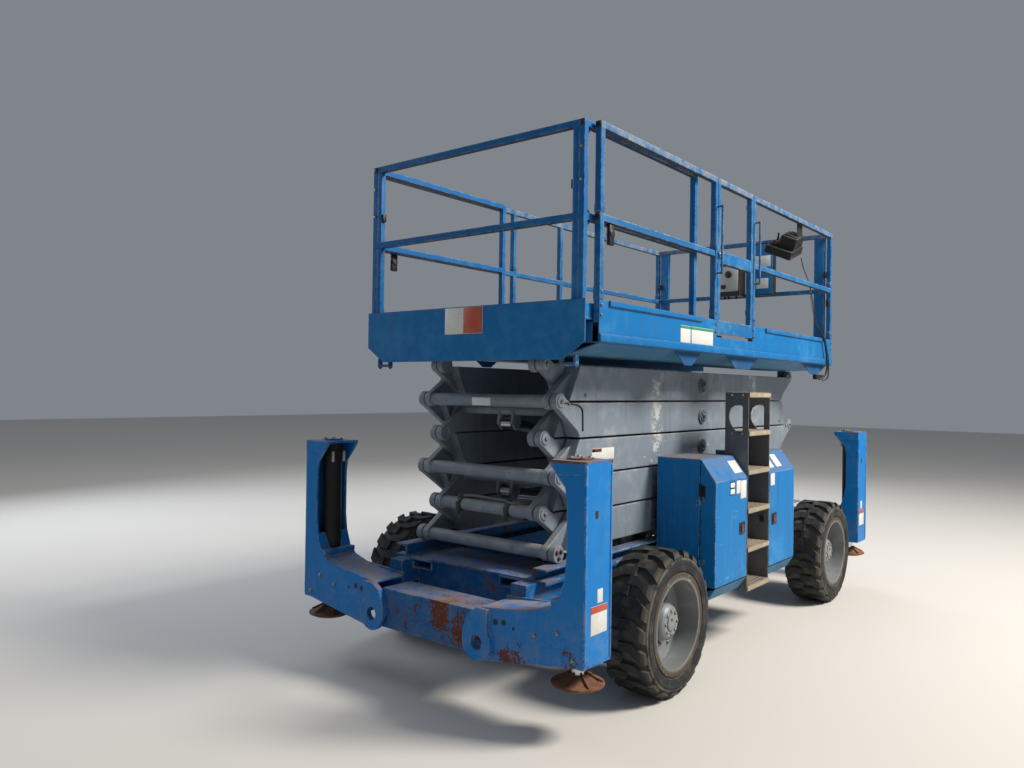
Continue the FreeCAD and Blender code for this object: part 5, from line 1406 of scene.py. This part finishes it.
@dataclass(frozen=True)
class CabinetFittings:
    """Latches, hinges and blank plates of the cabinet doors, the deck and the ladder."""

    doors: tuple[Door, ...] = (Door("left_front", 1, 1, SIZES.cabinet_front, 0.355),
                               Door("left_rear", 1, -1, SIZES.cabinet_rear, -0.235),
                               Door("right_front", -1, 1, SIZES.cabinet_front, 0.155),
                               Door("right_rear", -1, -1, SIZES.cabinet_rear, -0.03))
    tray_half: float = 0.045
    hinge_levels: tuple[float, float] = (0.625, 1.043)
    hinge_screws: tuple[float, float] = (0.035, 0.055)
    screw_half: float = 0.004
    barrel_radius: float = 0.009
    front_flats: tuple[Flat, ...] = (Flat(0.29, 0.385, 1.06, 1.185), Flat(0.39, 0.455, 1.10, 1.19),
                                     Flat(0.485, 0.555, 1.148, 1.182), Flat(0.485, 0.555, 1.104, 1.138))
    border: Flat = Flat(0.478, 0.562, 1.097, 1.190)
    rear_flat: Flat = Flat(-0.245, -0.165, 1.105, 1.195)
    sloped_at: tuple[float, float] = (1.005, 1.007)
    deck_signs: tuple[tuple[float, float], ...] = ((0.56, 0.885), (0.90, 1.04))
    treads: int = 6
    ribs: int = 5
    rib_pitch: float = 0.034
    rib_width: float = 0.008

    def build(self) -> list[bpy.types.Object]:
        """Make the fittings on the doors and the ladder.

        Returns:
            The new objects.
        """
        made = []
        for door in self.doors:
            made += self._door(door)
        return made + self._door_plates() + self._deck_signs() + self._arm_plate() + self._ladder()

    def _door(self, door: Door) -> list[bpy.types.Object]:
        """Fit latch and hinges to one door.

        Args:
            door: The door.

        Returns:
            The new objects.
        """
        body, side, away, latch = f"door_{door.name}", door.side, door.away, door.latch
        face, pin = SIZES.cabinet_out, SIZES.cabinet_hinge
        tray = Batch(f"latch_tray_{door.name}", body, Palette.PLASTIC)
        tray.block_out(side, (latch - self.tray_half, face - 0.001, 0.81),
                       (latch + self.tray_half, face + 0.005, 0.895), 0.004)
        handle = Batch(f"latch_handle_{door.name}", body, Palette.RED)
        handle.block_out(side, (latch - 0.006, face + 0.004, 0.828), (latch + 0.026, face + 0.013, 0.877),
                         0.004)
        screws = Batch(f"hinge_screws_{door.name}", body, Palette.BOLT)
        barrel = Batch(f"hinge_barrels_{door.name}", body, Palette.BLACK)
        for level in self.hinge_levels:
            for up in self.hinge_screws:
                screws.bolt((door.hinge + away * 0.004, side * (pin + 0.022), level + up), Axis.X, away,
                            self.screw_half)
        barrel.round((door.hinge + away * 0.006, side * pin, 0), Axis.Z, self.barrel_radius, 1.078, 1.185, 16)
        low, high = sorted((door.hinge - away * 0.001, door.hinge + away * 0.0025))
        barrel.block_out(side, (low, pin + 0.005, 1.086), (high, pin + 0.034, 1.176), 0.0008)
        return [tray.done(), handle.done(), screws.done(), barrel.done()]

    def _door_plates(self) -> list[bpy.types.Object]:
        """Stick blank plates on the left doors.

        Returns:
            The new objects.
        """
        out = SIZES.cabinet_out
        near, far = self.sloped_at
        slope = Matrix.Rotation(math.atan2(0.108, 0.147), 4, "X")
        front = Batch("blank_plates_front_door", "door_left_front", Palette.SIGN)
        for flat in self.front_flats:
            front.stick(1, out, flat)
        front.block((0.30, near, 1.2285), (0.43, far, 1.3285), 0.0008, slope)
        border = Batch("plate_borders_front_door", "door_left_front", Palette.PLASTIC)
        border.stick(1, out, self.border, (-0.0005, 0.0008), 0.0005)
        rear = Batch("blank_plates_rear_door", "door_left_rear", Palette.SIGN)
        rear.stick(1, out, self.rear_flat)
        for low in (-0.29, -0.45):
            rear.block((low, near, 1.2235), (low + 0.11, far, 1.3335), 0.0008, slope)
        return [front.done(), border.done(), rear.done()]

    def _deck_signs(self) -> list[bpy.types.Object]:
        """Stick the two blank signs with their green bands on the deck's side.

        Returns:
            The new objects.
        """
        signs = Batch("blank_signs_deck_side", "platform", Palette.SIGN)
        band = Batch("sign_band_deck_side", "platform", Palette.GREEN)
        for start, end in self.deck_signs:
            signs.stick(1, SIZES.deck_half, Flat(start, end, 2.120, 2.232), round_off=0.001)
            band.stick(1, SIZES.deck_half, Flat(start, end, 2.212, 2.230), BAND, 0.0005)
        return [signs.done(), band.done()]

    def _arm_plate(self) -> list[bpy.types.Object]:
        """Stick the blank plate with its red band on the third level's arm.

        Returns:
            The new objects.
        """
        out = SIZES.outer_arm_out
        plate = Batch("blank_plate_arm", "outer_3", Palette.SIGN)
        plate.stick(1, out, Flat(1.27, 1.53, 1.362, 1.435))
        stripe = Batch("plate_band_arm", "outer_3", Palette.RED)
        stripe.stick(1, out, Flat(1.42, 1.528, 1.412, 1.433), BAND, 0.0004)
        return [plate.done(), stripe.done()]

    def _ladder(self) -> list[bpy.types.Object]:
        """Raise grip ribs on the treads and add the ladder's bolts and socket.

        Returns:
            The new objects.
        """
        ribs = Batch("tread_ribs", "chassis", Palette.TREAD)
        bolts = Batch("ladder_bolts", "chassis", Palette.BOLT)
        low, high = SIZES.ladder_mid - SIZES.ladder_half, SIZES.ladder_mid + SIZES.ladder_half
        for tread in range(self.treads):
            top = SIZES.ladder_top - tread * SIZES.tread_pitch
            for row in range(self.ribs):
                y = SIZES.ladder_in + 0.03 + row * self.rib_pitch
                ribs.block((low + 0.02, y, top - 0.001), (high - 0.02, y + self.rib_width, top + 0.003),
                           0.001)
            for y in (SIZES.ladder_in + 0.05, SIZES.cabinet_out - 0.045):
                bolts.bolt((high, y, top - 0.018), Axis.X, 1, 0.007)
                bolts.bolt((low, y, top - 0.018), Axis.X, -1, 0.007)
        socket = Batch("ladder_socket", "chassis", Palette.PLASTIC)
        socket.block((low + 0.007, 1.0, 0.835), (low + 0.03, 1.04, 0.885), 0.003)
        return [ribs.done(), bolts.done(), socket.done()]


@dataclass(frozen=True)
class OutriggerFittings:
    """Bolts, black plates painted as the shade of holes, edge strips, plates, hose ports and foot ribs of the
    four outriggers.
    """

    arm_bolts: tuple[tuple[float, float], ...] = ((0.961, 0.559), (0.815, 0.519), (1.056, 0.443))
    arm_bolt_half: float = 0.009
    arm_hole_shades: tuple[tuple[float, float, float], ...] = ((0.549, 0.541, 0.016), (0.605, 0.547, 0.016),
                                                         (0.674, 0.528, 0.009))
    slot_shade_heights: tuple[float, float] = (1.150, 1.190)
    cap_bolts: int = 4
    cap_circle: float = 0.05
    strip_width: float = 0.016
    fascia_heights: tuple[float, float, float] = (1.440, 1.375, 1.365)
    fascia_in: tuple[float, float] = (0.900, 0.945)
    port_places: tuple[float, float] = (-0.045, 0.045)
    port_radius: float = 0.009
    ribs: int = 6
    rib_half: float = 0.004
    rib_reach: tuple[float, float] = (0.040, 0.128)
    rib_heights: tuple[float, float, float] = (0.300, 0.308, 0.352)

    def build(self) -> list[bpy.types.Object]:
        """Make the fittings of all corners.

        Returns:
            The new objects.
        """
        made = []
        for corner, end, side in CORNERS:
            made += self._post(corner, end, side) + self._plates(corner, end, side)
            made += self._leg(corner, end, side)
        return made

    def _post(self, corner: str, end: int, side: int) -> list[bpy.types.Object]:
        """Fit bolts, flat black discs and a slot painted as the shade of holes, and edge strips to one
        outrigger.

        Args:
            corner: Corner name.
            end: 1 at the front, -1 at the rear.
            side: 1 on the left, -1 on the right.

        Returns:
            The new objects.
        """
        bolts = Batch(f"outrigger_bolts_{corner}", "chassis", Palette.BOLT)
        trim = Batch(f"outrigger_edge_strips_{corner}", "chassis", Palette.OUTRIGGER_BLUE)
        hole_shades = Batch(f"outrigger_hole_shades_{corner}", "chassis", Palette.PLASTIC)
        front, back = SIZES.rigger_face, SIZES.rigger_face - SIZES.rigger_deep
        middle, edge = end * (front + back) / 2, SIZES.rigger_out
        top, outer, inner = self.fascia_heights
        fascia = ((self.fascia_in[0], top), (edge, top), (edge, outer), (self.fascia_in[1], inner))
        for y, z in self.arm_bolts:
            bolts.bolt((end * front, side * y, z), Axis.X, end, self.arm_bolt_half)
        # The holes and the slot are flat black plates on the face: painted shade in place of their depth
        for y, z, radius in self.arm_hole_shades:
            hole_shades.round((end * front, side * y, z), Axis.X, radius, -0.001, 0.001, 24, 0.0)
        hole_shades.block_out(side, (middle + 0.006, edge - 0.001, self.slot_shade_heights[0]),
                        (middle + 0.034, edge + 0.001, self.slot_shade_heights[1]), 0.0)
        for step in range(self.cap_bolts):
            angle = math.tau * (step + 0.5) / self.cap_bolts
            out = SIZES.leg_out + self.cap_circle * math.sin(angle)
            bolts.bolt((middle + self.cap_circle * math.cos(angle), side * out, SIZES.rigger_top + 0.010),
                       Axis.Z, 1, self.arm_bolt_half)
        for strip, cover in (((front - self.strip_width, front), (front - 0.006, front + 0.004)),
                             ((back, back + self.strip_width), (back - 0.004, back + 0.004))):
            low, high = span(end, *strip)
            trim.block_out(side, (low, edge - 0.002, 0.42), (high, edge + 0.004, SIZES.rigger_top - 0.02))
            low, high = span(end, *cover)
            trim.plate([(low, side * y, z) for y, z in fascia], (high - low, 0, 0))
        return [bolts.done(), trim.done(), hole_shades.done()]

    def _plates(self, corner: str, end: int, side: int) -> list[bpy.types.Object]:
        """Stick the two blank plates and the orange band on one outrigger's outer face.

        Args:
            corner: Corner name.
            end: 1 at the front, -1 at the rear.
            side: 1 on the left, -1 on the right.

        Returns:
            The new objects.
        """
        middle, edge = end * (SIZES.rigger_face - SIZES.rigger_deep / 2), SIZES.rigger_out
        low, high = sorted((middle - end * 0.085, middle + end * 0.065))
        start, stop = sorted((middle - end * 0.043, middle + end * 0.007))
        plate = Batch(f"outrigger_plate_{corner}", "chassis", Palette.SIGN)
        plate.stick(side, edge, Flat(low, high, 0.563, 0.708))
        plate.stick(side, edge, Flat(start, stop, 0.72, 0.79))
        band = Batch(f"outrigger_plate_band_{corner}", "chassis", Palette.ORANGE)
        band.stick(side, edge, Flat(low, high, 0.672, 0.707), BAND, 0.0005)
        return [plate.done(), band.done()]

    def _leg(self, corner: str, end: int, side: int) -> list[bpy.types.Object]:
        """Fit the hose ports of one leg cylinder and the ribs of its foot.

        Args:
            corner: Corner name.
            end: 1 at the front, -1 at the rear.
            side: 1 on the left, -1 on the right.

        Returns:
            The new objects.
        """
        middle = end * (SIZES.rigger_face - SIZES.rigger_deep / 2)
        ports = Batch(f"leg_ports_{corner}", "chassis", Palette.BOX_GREY)
        for shift in self.port_places:
            ports.round((middle + shift, side * 0.945, 0), Axis.Z, self.port_radius, 1.30, 1.37, 16)
        ribs = Batch(f"foot_ribs_{corner}", f"foot_{corner}", Palette.RUST)
        centre = Vector((middle, side * SIZES.leg_out, 0.0))
        near, far = self.rib_reach
        under, rim, top = self.rib_heights
        for step in range(self.ribs):
            angle = math.tau * step / self.ribs
            out = Vector((math.cos(angle), math.sin(angle), 0))
            across = Vector((-math.sin(angle), math.cos(angle), 0))
            start = centre - across * self.rib_half
            ribs.plate([start + out * reach + Vector((0, 0, z))
                        for reach, z in ((near, under), (far, under), (far, rim), (near, top))],
                       across * (2 * self.rib_half))
        return [ports.done(), ribs.done()]


@dataclass(frozen=True)
class BoxFittings:
    """Joystick, buttons, covers and cable glands of the platform's boxes.

    The control box has a frame of its own, whose rows and corner are those of the CAD source.
    """

    turn: tuple[tuple[float, float, float], ...] = ((-0.945, 0.0, 0.292), (0.0, -0.894, 0.422),
                                                    (0.327, 0.447, 0.845))
    corner: tuple[float, float, float] = (-1.107, 0.835, 2.940)
    console_blocks: tuple[tuple[tuple[float, float, float], tuple[float, float, float]], ...] = (
        ((0.02, 0.165, 0.064), (0.28, 0.225, 0.085)), ((-0.006, -0.006, 0.012), (0.306, 0.241, 0.022)),
        ((0.085, 0.03, 0.168), (0.245, 0.13, 0.180)))
    stick_foot: tuple[float, float, float] = (0.15, 0.205, 0.085)
    stick_tip: tuple[float, float, float] = (0.15, 0.215, 0.150)
    stick_radius: float = 0.009
    stop_button: tuple[float, float, float] = (0.06, 0.2, 0.092)
    glands: tuple[float, float, float] = (-0.09, -0.05, 0.03)

    def build(self) -> list[bpy.types.Object]:
        """Make the details of the boxes.

        Returns:
            The new objects.
        """
        return self._rail_boxes() + self._console()

    def _rail_boxes(self) -> list[bpy.types.Object]:
        """Fit face, gauge, glands, cover and blank plates to the two boxes on the rear rail.

        Returns:
            The new objects.
        """
        panel = Batch("junction_box_face", "platform", Palette.BOX_GREY)
        panel.block((-1.798, -0.118, 2.80), (-1.790, 0.078, 3.05), 0.003)
        gauge = Batch("junction_box_gauge", "platform", Palette.PLASTIC)
        gauge.round((-1.79, -0.02, 2.97), Axis.X, 0.035, 0.0, 0.012, 28)
        gauge.block((-1.792, -0.10, 2.83), (-1.784, -0.05, 2.87))
        for y in self.glands:
            gauge.round((-1.87, y, 2.755), Axis.Z, 0.012, -0.022, 0.0, 14)
        cover = Batch("manual_box_cover", "platform", Palette.BLUE)
        cover.block((-1.888, 0.188, 2.765), (-1.880, 0.392, 3.25), 0.003)
        plates = Batch("manual_box_plates", "platform", Palette.SIGN)
        plates.block((-1.881, 0.21, 3.03), (-1.878, 0.37, 3.14), 0.001)
        plates.block((-1.881, 0.23, 2.82), (-1.878, 0.35, 2.92), 0.001)
        return [panel.done(), gauge.done(), cover.done(), plates.done()]

    def _console(self) -> list[bpy.types.Object]:
        """Fit panel strips, joystick and stop button to the control box.

        Returns:
            The new objects.
        """
        turn, corner = Matrix(self.turn).to_4x4(), Vector(self.corner)
        stick = Batch("control_box_details", "platform", Palette.PLASTIC)
        for low, high in self.console_blocks:
            middle = turn @ ((Vector(low) + Vector(high)) / 2) + corner
            half = (Vector(high) - Vector(low)) / 2
            stick.block(middle - half, middle + half, 0.003, turn)
        foot, tip = turn @ Vector(self.stick_foot) + corner, turn @ Vector(self.stick_tip) + corner
        stick.tube([foot, (foot + tip) / 2, tip], self.stick_radius)
        knob = Batch("control_box_stop_button", "platform", Palette.RED)
        knob.round(turn @ Vector(self.stop_button) + corner, Axis.Z, 0.014, 0.0, 0.012, 20)
        return [stick.done(), knob.done()]


# Camera, light and floor
@dataclass(frozen=True)
class View:
    """The photograph's viewpoint, in metres and radians."""

    place: tuple[float, float, float] = (5.77, 3.354, 1.798)
    yaw: float = 3.822
    pitch: float = 0.007
    roll: float = 0.014
    lens: float = 28.36
    sensor: float = 36.0


class Studio:
    """Camera, soft light and a plain pale floor."""

    def __init__(self, view: View) -> None:
        """Keep the view.

        Args:
            view: Where the camera stands.
        """
        self.view = view

    def camera(self) -> bpy.types.Object:
        """Place the camera at the photograph's angle.

        Returns:
            The camera.
        """
        view = self.view
        ahead = Vector((math.cos(view.yaw) * math.cos(view.pitch), math.sin(view.yaw) * math.cos(view.pitch),
                        math.sin(view.pitch)))
        flat_right = ahead.cross(Vector((0, 0, 1))).normalized()
        flat_up = flat_right.cross(ahead)
        right = flat_right * math.cos(view.roll) + flat_up * math.sin(view.roll)
        up = flat_up * math.cos(view.roll) - flat_right * math.sin(view.roll)
        data = bpy.data.cameras.new("photo_camera")
        data.lens = view.lens
        data.sensor_width = view.sensor
        data.sensor_fit = "HORIZONTAL"
        data.clip_end = 200
        camera = bpy.data.objects.new("photo_camera", data)
        turn = Matrix((right, up, -ahead)).transposed().to_4x4()
        camera.matrix_world = Matrix.Translation(Vector(view.place)) @ turn
        bpy.context.scene.collection.objects.link(camera)
        bpy.context.scene.camera = camera
        return camera

    def lights(self) -> None:
        """Set a large soft key from the left side, a fill and a pale surround."""
        for name, place, size, power, colour in (
                ("key", (-2.0, 8.0, 9.0), 3.2, 1900.0, "FFF8EF"), ("back", (-8.0, -5.0, 6.0), 5.0, 300.0,
                                                                   "EEF4FF"),
                ("right", (2.0, -9.0, 5.0), 5.0, 350.0, "EEF4FF")):
            data = bpy.data.lights.new(name, "AREA")
            data.shape = "SQUARE"
            data.size = size
            data.energy = power
            data.color = srgb_to_linear(colour)[:3]
            lamp = bpy.data.objects.new(name, data)
            lamp.location = place
            aim = Vector((0, 0, 1.4)) - Vector(place)
            lamp.rotation_euler = aim.to_track_quat("-Z", "Y").to_euler()
            bpy.context.scene.collection.objects.link(lamp)
        world = bpy.data.worlds.new("pale_surround")
        world.use_nodes = True
        world.node_tree.nodes["Background"].inputs["Color"].default_value = srgb_to_linear("D6DEE8")
        world.node_tree.nodes["Background"].inputs["Strength"].default_value = 0.32
        bpy.context.scene.world = world

    def floor(self) -> bpy.types.Object:
        """Lay the floor, which isn't part of the object.

        Returns:
            The floor.
        """
        mesh = bmesh.new()
        bmesh.ops.create_grid(mesh, x_segments=1, y_segments=1, size=40.0)
        data = bpy.data.meshes.new("studio_floor")
        mesh.to_mesh(data)
        mesh.free()
        floor = bpy.data.objects.new("studio_floor", data)
        graph = NodeGraph("matt_paper_floor")
        shader = graph.add("BsdfPrincipled", {"Base Color": srgb_to_linear("CECBC5"), "Roughness": 0.85})
        graph.add("OutputMaterial", {"Surface": shader})
        data.materials.append(graph.material)
        bpy.context.scene.collection.objects.link(floor)
        return floor

    def tone(self) -> None:
        """Choose a plain view transform."""
        scene = bpy.context.scene
        scene.view_settings.view_transform = "Standard"
        scene.view_settings.look = "None"
        scene.view_settings.exposure = 0.0


def triangles(objects: Iterable[bpy.types.Object]) -> int:
    """Count the triangles of some objects.

    Args:
        objects: Mesh objects.

    Returns:
        Their number of triangles.
    """
    total = 0
    for obj in objects:
        total += sum(len(face.vertices) - 2 for face in obj.data.polygons)
    return total


def main() -> None:
    """Build the camera, the paint and the fittings, in that order, and report."""
    logging.basicConfig(level=logging.INFO, format="%(message)s")
    studio = Studio(View())
    studio.camera()
    NodePainter(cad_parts).paint_all()
    log.info("painted %d nodes", len(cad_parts))
    added: list[bpy.types.Object] = []
    for corner, end, side in CORNERS:
        added += WheelFittings(corner, end, side).build()
    for maker in (ScissorFittings(), RailFittings(), CabinetFittings(), OutriggerFittings(), BoxFittings()):
        made = maker.build()
        added += made
        log.info("%s: %d pieces", type(maker).__name__, len(made))
    log.info("added %d pieces, %d triangles", len(added), triangles(added))
    studio.lights()
    studio.floor()
    studio.tone()
    bpy.context.view_layer.update()


if __name__ == "__main__":
    main()
